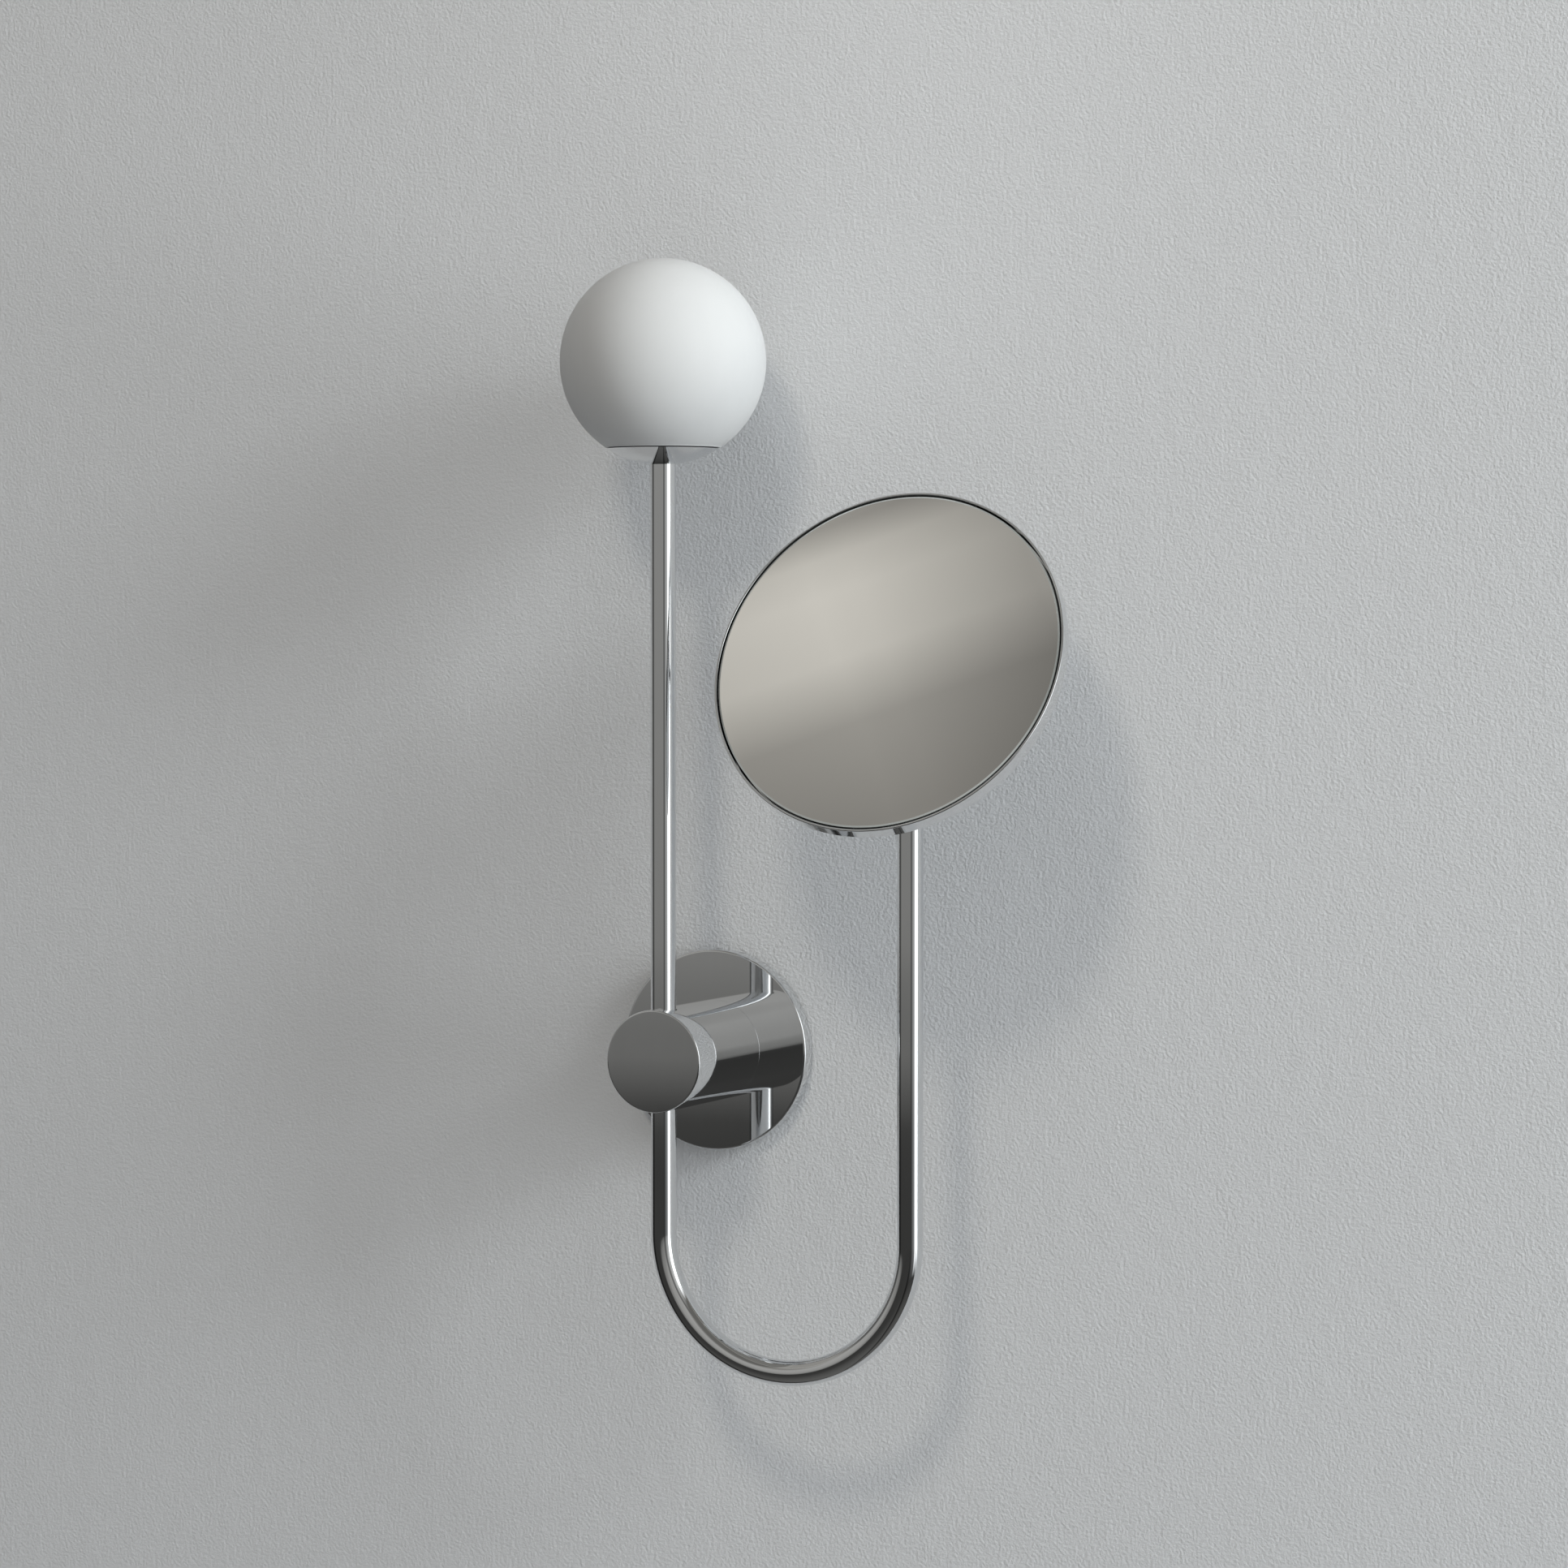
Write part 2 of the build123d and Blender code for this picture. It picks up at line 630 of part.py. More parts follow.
with BuildPart() as globe_gasket:
    with BuildSketch(level(cup_rim_z)):
        Circle(globe_joint_r - gasket_inset)
        Circle(carrier_r + face_gap, mode=Mode.SUBTRACT)
    extrude(amount=gasket_gap)
globe_gasket.part.label = "globe_gasket"
export_step(globe_gasket.part, "parts/globe_gasket.step")

with BuildPart() as globe_glass:
    with Locations((0, -stand_off, globe_height)):
        Sphere(globe_r)
        Sphere(globe_r - globe_wall, mode=Mode.SUBTRACT)
    with BuildSketch(level(joint_z)):
        Circle(neck_bore_r + globe_neck_wall)
    extrude(amount=globe_neck_h + gasket_gap / 2)
    with BuildSketch(level(cup_bottom)):
        Circle(neck_bore_r)
    extrude(amount=glass_edge_z + globe_neck_h + 1 - cup_bottom, mode=Mode.SUBTRACT)
    with BuildSketch(level(glass_edge_z)):
        Rectangle(globe_d, globe_d)
    extrude(amount=-globe_r, mode=Mode.SUBTRACT)
globe_glass.part.label = "globe_glass"
export_step(globe_glass.part, "parts/globe_glass.step")

with BuildPart() as holder_bracket:
    with BuildSketch(Plane.XZ.offset(stand_off - bracket_w / 2)):
        with BuildLine():
            FilletPolyline(
                (-strap_foot_end, nut_z + bracket_strap / 2),
                (-strap_leg_x, nut_z + bracket_strap / 2),
                (-strap_leg_x, holder_z - bracket_strap / 2),
                (strap_leg_x, holder_z - bracket_strap / 2),
                (strap_leg_x, nut_z + bracket_strap / 2),
                (strap_foot_end, nut_z + bracket_strap / 2),
                radius=bracket_strap,
            )
            offset(amount=bracket_strap / 2)
        make_face()
    extrude(amount=bracket_w)
    with BuildSketch(level(nut_z)):
        with Locations((strap_foot_x, 0), (-strap_foot_x, 0)):
            Circle(m3_r + screw_clear)
    extrude(amount=2 * bracket_strap, mode=Mode.SUBTRACT)
holder_bracket.part.label = "holder_bracket"
export_step(holder_bracket.part, "parts/holder_bracket.step")

with BuildPart() as bracket_screws:
    with BuildSketch(level(carrier_z + screw_end_gap)):
        with Locations((strap_foot_x, 0), (-strap_foot_x, 0)):
            Circle(m3_r)
    extrude(amount=nut_z + bracket_strap - carrier_z - screw_end_gap)
    with BuildSketch(level(nut_z + bracket_strap)):
        with Locations((strap_foot_x, 0), (-strap_foot_x, 0)):
            Circle(m3_head_r)
            Rectangle(2 * m3_r, slot_cut_w, mode=Mode.SUBTRACT)
    extrude(amount=m3_head_h)
bracket_screws.part.label = "bracket_screws"
export_step(bracket_screws.part, "parts/bracket_screws.step")

with BuildPart() as lamp_holder:
    with BuildSketch(level(holder_z)):
        Circle(holder_r)
    extrude(amount=holder_h)
    fillet(lamp_holder.edges().group_by(Axis.Z)[-1], 1.0)
    with BuildSketch(level(holder_z + holder_h)):
        Circle(lamp_base_r + screw_clear)
    extrude(amount=-lamp_base_h - screw_clear, mode=Mode.SUBTRACT)
lamp_holder.part.label = "lamp_holder"
export_step(lamp_holder.part, "parts/lamp_holder.step")

lamp_z = holder_z + holder_h

with BuildPart() as lamp:
    with BuildSketch(level(lamp_z - lamp_base_h)):
        Circle(lamp_base_r)
    extrude(amount=lamp_base_h)
    with BuildSketch(level(lamp_z)):
        Circle(lamp_r)
    extrude(amount=lamp_h)
    fillet(lamp.edges().group_by(Axis.Z)[-1], 0.6 * lamp_r)
lamp.part.label = "lamp"
export_step(lamp.part, "parts/lamp.step")

# ---------------------------------------------------------------- mirror post and knuckle
bush_bottom = post_top - post_bush_l

with BuildPart() as post_bush:
    with BuildSketch(level(bush_bottom, arm_reach)):
        Circle(tube_bore_r - fit)
    extrude(amount=post_bush_l)
    with BuildSketch(level(post_top, arm_reach)):
        Circle(tube_r)
    extrude(amount=post_flange_t)
    with BuildSketch(level(bush_bottom, arm_reach)):
        Circle(spindle_r + running)
    extrude(amount=post_bush_l + post_flange_t, mode=Mode.SUBTRACT)
post_bush.part.label = "post_bush"
export_step(post_bush.part, "parts/post_bush.step")

with BuildPart() as post_washer:
    with BuildSketch(level(post_top + post_flange_t, arm_reach)):
        Circle(tube_r - free)
        Circle(spindle_r + 2 * running, mode=Mode.SUBTRACT)
    extrude(amount=washer_t)
post_washer.part.label = "post_washer"
export_step(post_washer.part, "parts/post_washer.step")

spindle_bottom = bush_bottom - face_gap

with BuildPart() as swivel_fork:
    with BuildSketch(ARM_PLANE):
        with BuildLine():
            Polyline(
                (arm_reach, spindle_bottom),
                (arm_reach + spindle_r, spindle_bottom),
                (arm_reach + spindle_r, knuckle_z),
                (arm_reach + tube_r, knuckle_z),
                (arm_reach + knuckle_r, knuckle_top - knuckle_edge_h),
                (arm_reach + knuckle_r, knuckle_top),
                (arm_reach, knuckle_top),
                close=True,
            )
        make_face()
    revolve(axis=POST)
    with BuildSketch(BOLT_PLANE.offset(fork_gap / 2)):
        Circle(tube_r)
        with Locations((0, -(tilt_height - knuckle_top) / 2)):
            Rectangle(tube_d, tilt_height - knuckle_top)
    extrude(amount=ear_t)
    with BuildSketch(BOLT_PLANE.offset(-fork_gap / 2)):
        Circle(tube_r)
        with Locations((0, -(tilt_height - knuckle_top) / 2)):
            Rectangle(tube_d, tilt_height - knuckle_top)
    extrude(amount=-ear_t)
    with BuildSketch(BOLT_PLANE.offset(-ear_face)):
        Circle(m4_r + fit)
    extrude(amount=2 * ear_face, mode=Mode.SUBTRACT)
    with BuildSketch(level(spindle_bottom, arm_reach)):
        Circle(m3_r + fit)
    extrude(amount=spindle_tap_depth, mode=Mode.SUBTRACT)
swivel_fork.part.label = "swivel_fork"
export_step(swivel_fork.part, "parts/swivel_fork.step")

with BuildPart() as spindle_screw:
    with BuildSketch(level(spindle_bottom, arm_reach)):
        Circle(m3_r)
    extrude(amount=spindle_screw_l)
    with BuildSketch(level(spindle_bottom, arm_reach)):
        Circle(tube_bore_r - spindle_head_gap)
    extrude(amount=-head_h)
    with BuildSketch(level(spindle_bottom - head_h, arm_reach)):
        RegularPolygon(m3_r, 6)
    extrude(amount=head_h / 2, mode=Mode.SUBTRACT)
spindle_screw.part.label = "spindle_screw"
export_step(spindle_screw.part, "parts/spindle_screw.step")

with BuildPart() as tilt_bolt:
    with BuildSketch(BOLT_PLANE.offset(tilt_pin_end)):
        Circle(m4_r)
    extrude(amount=ear_face - tilt_pin_end)
    with BuildSketch(BOLT_PLANE.offset(ear_face)):
        Circle(tilt_cap_r)
    extrude(amount=tilt_cap_h)
    fillet(tilt_bolt.edges().group_by(Axis.X)[-1], 0.5 * tilt_cap_h)
    with BuildSketch(BOLT_PLANE.offset(ear_face + tilt_cap_h)):
        RegularPolygon(0.6 * m4_r, 6)
    extrude(amount=-0.6 * tilt_cap_h, mode=Mode.SUBTRACT)
tilt_bolt.part.label = "tilt_bolt"
export_step(tilt_bolt.part, "parts/tilt_bolt.step")

with BuildPart() as tilt_nut:
    with BuildSketch(BOLT_PLANE.offset(-ear_face)):
        Circle(tilt_cap_r)
    extrude(amount=-tilt_cap_h)
    fillet(tilt_nut.edges().group_by(Axis.X)[0], 0.5 * tilt_cap_h)
    with BuildSketch(BOLT_PLANE.offset(-ear_face)):
        Circle(m4_r + fit)
    extrude(amount=tilt_cap_wall - tilt_cap_h, mode=Mode.SUBTRACT)
tilt_nut.part.label = "tilt_nut"
export_step(tilt_nut.part, "parts/tilt_nut.step")

with BuildPart() as tilt_washers:
    with BuildSketch(BOLT_PLANE.offset(fork_gap / 2)):
        Circle(tilt_washer_r)
        Circle(m4_r + 2 * running, mode=Mode.SUBTRACT)
    extrude(amount=-tilt_washer_t)
    with BuildSketch(BOLT_PLANE.offset(-fork_gap / 2)):
        Circle(tilt_washer_r)
        Circle(m4_r + 2 * running, mode=Mode.SUBTRACT)
    extrude(amount=tilt_washer_t)
tilt_washers.part.label = "tilt_washers"
export_step(tilt_washers.part, "parts/tilt_washers.step")

# ---------------------------------------------------------------- mirror head
TONGUE_PLANE = Plane(origin=TILT_POINT, x_dir=LOOK, z_dir=(1, 0, 0))
flange_back = hub_length - hub_flange_t

with BuildPart() as mirror_hub:
    with BuildSketch(TONGUE_PLANE):
        Circle(eye_r)
        with Locations((flange_back / 2, 0)):
            Rectangle(flange_back, hub_neck_h)
    extrude(amount=eye_t / 2, both=True)
    with BuildSketch(MIRROR.offset(flange_back)):
        Circle(hub_flange_r)
    extrude(amount=hub_flange_t)
    with BuildSketch(MIRROR.offset(flange_back)):
        Circle(hub_cone_r)
    extrude(amount=-hub_cone_h, taper=hub_cone_taper)
    with BuildSketch(TONGUE_PLANE):
        Circle(m4_r + running)
    extrude(amount=eye_t, both=True, mode=Mode.SUBTRACT)
    with BuildSketch(MIRROR.offset(flange_back)):
        with PolarLocations(hub_screw_ring, 3, start_angle=90):
            Circle(m3_r + screw_clear)
    extrude(amount=hub_flange_t, mode=Mode.SUBTRACT)
mirror_hub.part.label = "mirror_hub"
export_step(mirror_hub.part, "parts/mirror_hub.step")

housing_z = hub_length
backing_z = housing_z + housing_back
pad_z = backing_z + backing_t
glass_z = pad_z + pad_t
rim_z = housing_z + housing_depth

with BuildPart() as mirror_housing:
    with BuildSketch(MIRROR.offset(housing_z)):
        Circle(mirror_r)
    extrude(amount=housing_depth)
    fillet(mirror_housing.edges().group_by(Axis(TILT_POINT, LOOK))[0], housing_edge_r)
    with BuildSketch(MIRROR.offset(backing_z)):
        Circle(mirror_r - rim_wall)
    extrude(amount=housing_depth, mode=Mode.SUBTRACT)
    rim_edges = mirror_housing.edges().group_by(Axis(TILT_POINT, LOOK))[-1]
    fillet(rim_edges, 0.45 * rim_wall)
    with BuildSketch(MIRROR.offset(housing_z)):
        with PolarLocations(hub_screw_ring, 3, start_angle=90):
            Circle(m3_r + screw_clear)
    extrude(amount=housing_back, mode=Mode.SUBTRACT)
mirror_housing.part.label = "mirror_housing"
export_step(mirror_housing.part, "parts/mirror_housing.step")

with BuildPart() as backing_plate:
    with BuildSketch(MIRROR.offset(backing_z)):
        Circle(mirror_r - rim_wall - backing_inset)
        with PolarLocations(hub_screw_ring, 3, start_angle=90):
            Circle(m3_r + fit, mode=Mode.SUBTRACT)
    extrude(amount=backing_t)
backing_plate.part.label = "backing_plate"
export_step(backing_plate.part, "parts/backing_plate.step")

with BuildPart() as mirror_pad:
    with BuildSketch(MIRROR.offset(pad_z)):
        Circle(mirror_r - rim_wall - pad_inset)
    extrude(amount=pad_t)
mirror_pad.part.label = "mirror_pad"
export_step(mirror_pad.part, "parts/mirror_pad.step")

with BuildPart() as mirror_glass:
    with BuildSketch(MIRROR.offset(glass_z)):
        Circle(mirror_r - rim_wall - glass_gap)
    extrude(amount=glass_t)
    front_edge = mirror_glass.edges().group_by(Axis(TILT_POINT, LOOK))[-1]
    chamfer(front_edge, 0.4 * glass_bevel, glass_bevel)
mirror_glass.part.label = "mirror_glass"
export_step(mirror_glass.part, "parts/mirror_glass.step")

with BuildPart() as hub_screws:
    with BuildSketch(MIRROR.offset(flange_back - m3_head_h)):
        with PolarLocations(hub_screw_ring, 3, start_angle=90):
            Circle(hub_head_r)
            RegularPolygon(0.6 * m3_r, 6, mode=Mode.SUBTRACT)
    extrude(amount=hub_socket)
    with BuildSketch(MIRROR.offset(flange_back - m3_head_h + hub_socket)):
        with PolarLocations(hub_screw_ring, 3, start_angle=90):
            Circle(hub_head_r)
    extrude(amount=m3_head_h - hub_socket)
    with BuildSketch(MIRROR.offset(flange_back)):
        with PolarLocations(hub_screw_ring, 3, start_angle=90):
            Circle(m3_r)
    extrude(amount=hub_flange_t + housing_back + backing_t - 2 * screw_end_gap)
hub_screws.part.label = "hub_screws"
export_step(hub_screws.part, "parts/hub_screws.step")
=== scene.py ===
import json
from math import acos, asin, cos, pi, radians, sin, sqrt, tan

import bpy
from bpy.props import FloatProperty, FloatVectorProperty, IntProperty, PointerProperty
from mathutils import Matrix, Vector


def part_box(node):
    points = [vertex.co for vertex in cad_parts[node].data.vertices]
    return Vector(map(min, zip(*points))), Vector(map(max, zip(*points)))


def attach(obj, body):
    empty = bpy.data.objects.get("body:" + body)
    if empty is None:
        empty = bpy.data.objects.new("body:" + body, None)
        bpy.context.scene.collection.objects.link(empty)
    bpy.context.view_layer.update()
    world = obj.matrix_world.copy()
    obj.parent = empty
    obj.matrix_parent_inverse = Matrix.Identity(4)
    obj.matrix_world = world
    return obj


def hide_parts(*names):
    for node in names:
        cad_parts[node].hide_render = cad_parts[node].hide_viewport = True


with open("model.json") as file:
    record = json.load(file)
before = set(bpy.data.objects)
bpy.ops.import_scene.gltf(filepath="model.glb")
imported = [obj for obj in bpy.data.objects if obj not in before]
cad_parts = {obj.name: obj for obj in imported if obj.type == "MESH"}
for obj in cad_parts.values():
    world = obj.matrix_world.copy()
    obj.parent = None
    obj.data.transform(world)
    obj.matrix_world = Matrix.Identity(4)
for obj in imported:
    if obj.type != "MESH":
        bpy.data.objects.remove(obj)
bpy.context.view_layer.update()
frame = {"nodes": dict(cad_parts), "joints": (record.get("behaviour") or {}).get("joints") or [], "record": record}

bl_info = {
    "name": "Wall light with shaving mirror",
    "version": (1, 0, 0),
    "blender": (4, 5, 0),
    "location": "View3D > Sidebar > Wall Light",
    "description": "Models the shells, glass, mirror and knuckle of a chrome wall light",
    "category": "Add Mesh",
}

MM = 0.001
SLACK = 0.02 * MM             # between pieces that touch
WELD = 0.5e-6                 # corners nearer than this become one
X, Y, Z = Vector((1, 0, 0)), Vector((0, 1, 0)), Vector((0, 0, 1))
OUT = -Y                      # away from the wall
NODES = frame["nodes"]
JOINTS = {joint["name"]: joint for joint in frame["joints"]}


# ------------------------------------------------------------------ places, read from the frame
def low(node):
    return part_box(node)[0]


def high(node):
    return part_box(node)[1]


def middle(node):
    return (low(node) + high(node)) / 2


def snapped(length):
    """A round part's facets leave its box a few hundredths small: back to a tenth of a millimetre."""
    return round(length / MM, 1) * MM


TUBE_R = snapped((high("arm_tube").y - low("arm_tube").y) / 2)
STEM_X = low("arm_tube").x + TUBE_R
POST_X = high("arm_tube").x - TUBE_R
TUBE_Y = middle("arm_tube").y
TUBE_TOP = high("arm_tube").z
BEND_R = (POST_X - STEM_X) / 2
BEND_Z = low("arm_tube").z + TUBE_R + BEND_R
GLOBE_R = snapped((high("globe_glass").x - low("globe_glass").x) / 2)
GLOBE_AT = Vector((STEM_X, TUBE_Y, high("globe_glass").z - GLOBE_R))
PLATE_R = snapped((high("wall_plate").x - low("wall_plate").x) / 2)
PLATE_FRONT = -low("wall_plate").y
PLATE_BACK = -high("wall_plate").y
BOSS_R = snapped((high("boss").x - low("boss").x) / 2)
BOSS_FRONT = -low("boss").y
TILT_AT = Vector(JOINTS["mirror_tilt"]["pos_m"])
LOOK = (middle("mirror_glass") - TILT_AT).normalized()


def reach_from_pin(name):
    """Nearest and farthest corner of a mirror piece in front of the tilt pin."""
    piece = NODES[name]
    steps = [(piece.matrix_world @ corner.co - TILT_AT).dot(LOOK) for corner in piece.data.vertices]
    return snapped(min(steps)), snapped(max(steps))


HOUSING_BACK, HOUSING_FRONT = reach_from_pin("mirror_housing")
MIRROR_R = snapped(high("mirror_housing").x - TILT_AT.x)
HUB_BACK = HOUSING_BACK - 2.5 * MM      # the hub's flange, on the mirror's back


class WallLightSizes(bpy.types.PropertyGroup):
    """Sizes that a maker would change"""

    tube_wall: FloatProperty(name="Tube wall", description="Wall of the bent tube", default=1.25 * MM,
                             unit="LENGTH")
    globe_wall: FloatProperty(name="Globe wall", description="Thickness of the opal glass",
                              default=3 * MM, unit="LENGTH")
    cup_wall: FloatProperty(name="Cup wall", description="Wall of the globe's cup", default=1.5 * MM,
                            unit="LENGTH")
    plate_wall: FloatProperty(name="Plate wall", description="Wall of the wall plate",
                              default=1.5 * MM, unit="LENGTH")
    plate_edge: FloatProperty(name="Plate edge", description="Rounding of the wall plate's edge",
                              default=1.2 * MM, unit="LENGTH")
    boss_wall: FloatProperty(name="Boss wall", description="Wall of the boss", default=3 * MM,
                             unit="LENGTH")
    boss_edge: FloatProperty(name="Boss edge", description="Rounding of the boss's front edge",
                             default=0.8 * MM, unit="LENGTH")
    tube_gap: FloatProperty(name="Tube gap", description="Gap round the tube where it enters the boss",
                            default=0.35 * MM, unit="LENGTH")
    mirror_rim: FloatProperty(name="Mirror rim", description="Wall of the mirror's pan",
                              default=1.2 * MM, unit="LENGTH")
    mirror_gap: FloatProperty(name="Mirror gap", description="Dark joint between glass and rim",
                              default=0.9 * MM, unit="LENGTH")
    mirror_bevel: FloatProperty(name="Mirror bevel", description="Width of the ground edge",
                                default=0.8 * MM, unit="LENGTH")
    steps: IntProperty(name="Steps", description="Steps in a full turn of a round piece", default=192,
                       min=32, max=512)


class WallLightFinish(bpy.types.PropertyGroup):
    """Colours and polish"""

    chrome: FloatVectorProperty(name="Chrome", description="Colour of the chrome plate",
                                subtype="COLOR", size=4, default=(0.80, 0.81, 0.82, 1), min=0, max=1)
    opal: FloatVectorProperty(name="Opal glass", description="Colour of the globe", subtype="COLOR",
                              size=4, default=(0.475, 0.48, 0.48, 1), min=0, max=1)
    silver: FloatVectorProperty(name="Silvering", description="Colour of the mirror's reflection",
                                subtype="COLOR", size=4, default=(0.86, 0.85, 0.83, 1), min=0, max=1)
    wall: FloatVectorProperty(name="Wall paint", description="Colour of the wall behind",
                              subtype="COLOR", size=4, default=(0.565, 0.573, 0.582, 1), min=0, max=1)
    polish: FloatProperty(name="Polish", description="Roughness of the chrome", default=0.03, min=0,
                          max=1)


class WallLightStudio(bpy.types.PropertyGroup):
    """Camera and lamps"""

    azimuth: FloatProperty(name="Azimuth", description="How far round the camera stands",
                           default=radians(24.26), subtype="ANGLE")
    elevation: FloatProperty(name="Elevation", description="How far up the camera stands",
                             default=radians(2.09), subtype="ANGLE")
    distance: FloatProperty(name="Distance", description="Camera to the point it looks at",
                            default=2.2877, unit="LENGTH")
    lens: FloatProperty(name="Lens", description="Focal length on a 36 mm sensor", default=108.49,
                        min=10, max=300)
    key_power: FloatProperty(name="Key", description="Lamp above and in front", default=11, min=0)
    side_power: FloatProperty(name="Side", description="Tall lamp on the right", default=145, min=0)


# ------------------------------------------------------------------ modelling helpers
def sizes():
    return bpy.context.scene.wall_light_sizes


def broad_steps():
    """Steps in a full turn of the plate, the boss and the mirror."""
    return sizes().steps * 4 // 3


def finish():
    return bpy.context.scene.wall_light_finish


def clear_selection():
    if bpy.context.mode != "OBJECT":
        bpy.ops.object.mode_set(mode="OBJECT")
    bpy.ops.object.select_all(action="DESELECT")


def pick(obj):
    clear_selection()
    obj.select_set(True)
    bpy.context.view_layer.objects.active = obj


def start(name):
    """Name the new primitive and open it for editing, all of it selected."""
    obj = bpy.context.active_object
    obj.name = obj.data.name = name
    bpy.ops.object.mode_set(mode="EDIT")
    bpy.ops.mesh.select_all(action="SELECT")
    return obj


def drag(move):
    bpy.ops.mesh.extrude_region_move(TRANSFORM_OT_translate={"value": tuple(move)})


def weld():
    bpy.ops.mesh.select_all(action="SELECT")
    bpy.ops.mesh.remove_doubles(threshold=WELD)
    bpy.ops.mesh.select_all(action="SELECT")


def tidy_mesh():
    weld()
    bpy.ops.mesh.normals_make_consistent(inside=False)


def apply_modifier(obj, kind, **settings):
    modifier = obj.modifiers.new(kind.title(), kind)
    for key, value in settings.items():
        setattr(modifier, key, value)
    pick(obj)
    bpy.ops.object.modifier_apply(modifier=modifier.name)


def rounded(corners, steps=5):
    """Outline points from (radius, height, rounding) corners, with an arc at each rounded one."""
    points = []
    for index, (r, h, rounding) in enumerate(corners):
        here = Vector((r, h))
        if not rounding:
            points.append(here)
            continue
        back = (Vector(corners[index - 1][:2]) - here).normalized()
        ahead = (Vector(corners[(index + 1) % len(corners)][:2]) - here).normalized()
        half = back.angle(ahead) / 2
        centre = here + (back + ahead).normalized() * rounding / sin(half)
        first = here + back * rounding / tan(half) - centre
        last = here + ahead * rounding / tan(half) - centre
        for step in range(steps + 1):
            points.append(centre + first.slerp(last, step / steps) * rounding)
    return points


def arc(centre, radius, first, last, steps):
    """Points on a circle about (radius, height) centre, from one angle to another."""
    turns = [first + (last - first) * step / steps for step in range(steps + 1)]
    return [Vector((centre[0] + radius * cos(a), centre[1] + radius * sin(a))) for a in turns]


def turned(name, outline, at, along, closed=True, steps=0):
    """Draw an outline of (radius, height) points from one vertex and spin it about an axis."""
    along = along.normalized()
    across = along.orthogonal().normalized() if abs(along.dot(X)) > 0.5 else \
        (X - along * X.dot(along)).normalized()
    points = [at + across * r + along * h for r, h in outline]
    if closed:
        points.append(points[0])
    clear_selection()
    bpy.ops.mesh.primitive_plane_add(size=MM, location=(0, 0, 0))
    obj = start(name)
    bpy.ops.mesh.merge(type="CENTER")
    bpy.ops.transform.translate(value=points[0])
    for before, after in zip(points, points[1:]):
        drag(after - before)
    weld()
    bpy.ops.mesh.spin(steps=steps or sizes().steps, angle=2 * pi, center=at, axis=along)
    tidy_mesh()
    bpy.ops.object.mode_set(mode="OBJECT")
    return obj


def rod(name, at, along, radius, length, sides=64):
    """A plain round or many-sided bar with its ends closed, used as a cutter or a blank."""
    clear_selection()
    turn = Z.rotation_difference(along).to_euler()
    bpy.ops.mesh.primitive_cylinder_add(vertices=sides, radius=radius, depth=length, location=at,
                                        rotation=turn)
    obj = bpy.context.active_object
    obj.name = obj.data.name = name
    bpy.ops.object.transform_apply(location=True, rotation=True, scale=True)
    return obj


def slab(name, outline, at, across, up, thickness, bevel=0.4 * MM):
    """A flat shape drawn from one vertex, filled, given its thickness both ways and its edges eased."""
    along = across.cross(up).normalized()
    points = [at + across * a + up * b - along * thickness / 2 for a, b in outline]
    clear_selection()
    bpy.ops.mesh.primitive_plane_add(size=MM, location=(0, 0, 0))
    obj = start(name)
    bpy.ops.mesh.merge(type="CENTER")
    bpy.ops.transform.translate(value=points[0])
    for before, after in zip(points, points[1:] + points[:1]):
        drag(after - before)
    weld()
    bpy.ops.mesh.edge_face_add()
    drag(along * thickness)
    tidy_mesh()
    bpy.ops.object.mode_set(mode="OBJECT")
    if bevel:
        apply_modifier(obj, "BEVEL", width=bevel, segments=3, limit_method="ANGLE",
                       angle_limit=radians(40))
    return obj


def cut(obj, cutter):
    """Take the cutter's shape out of a piece and drop the cutter."""
    apply_modifier(obj, "BOOLEAN", object=cutter, operation="DIFFERENCE", solver="EXACT")
    bpy.data.objects.remove(cutter)


def join(main, *others):
    pick(main)
    for other in others:
        other.select_set(True)
    bpy.ops.object.join()
    return main


def finished(obj, body, material, nodes, smooth=30):
    """Place in the mesh, shading, finish and the body that the piece rides on."""
    pick(obj)
    bpy.ops.object.transform_apply(location=True, rotation=True, scale=True)
    bpy.ops.object.shade_smooth_by_angle(angle=radians(smooth))
    apply_modifier(obj, "WEIGHTED_NORMAL", keep_sharp=True, weight=100)
    if material:
        obj.data.materials.clear()
        obj.data.materials.append(material)
    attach(obj, body)
    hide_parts(*nodes)
    clear_selection()


# ------------------------------------------------------------------ shared shader groups
def group(name, inputs, outputs):
    """An empty node group with its sockets, and its two end nodes."""
    tree = bpy.data.node_groups.new(name, "ShaderNodeTree")
    for label, value in inputs:
        socket = tree.interface.new_socket(label, in_out="INPUT", socket_type="NodeSocketFloat")
        socket.default_value = value
    for label in outputs:
        tree.interface.new_socket(label, in_out="OUTPUT", socket_type="NodeSocketFloat")
    return tree, tree.nodes.new("NodeGroupInput"), tree.nodes.new("NodeGroupOutput")


def node(tree, kind, links=(), **settings):
    """A new shader node, each of its inputs linked or given a plain value."""
    made = tree.nodes.new("ShaderNode" + kind)
    for key, value in settings.items():
        setattr(made, key, value)
    for socket, source in links:
        if hasattr(source, "is_output"):
            tree.links.new(source, made.inputs[socket])
        else:
            made.inputs[socket].default_value = source
    return made


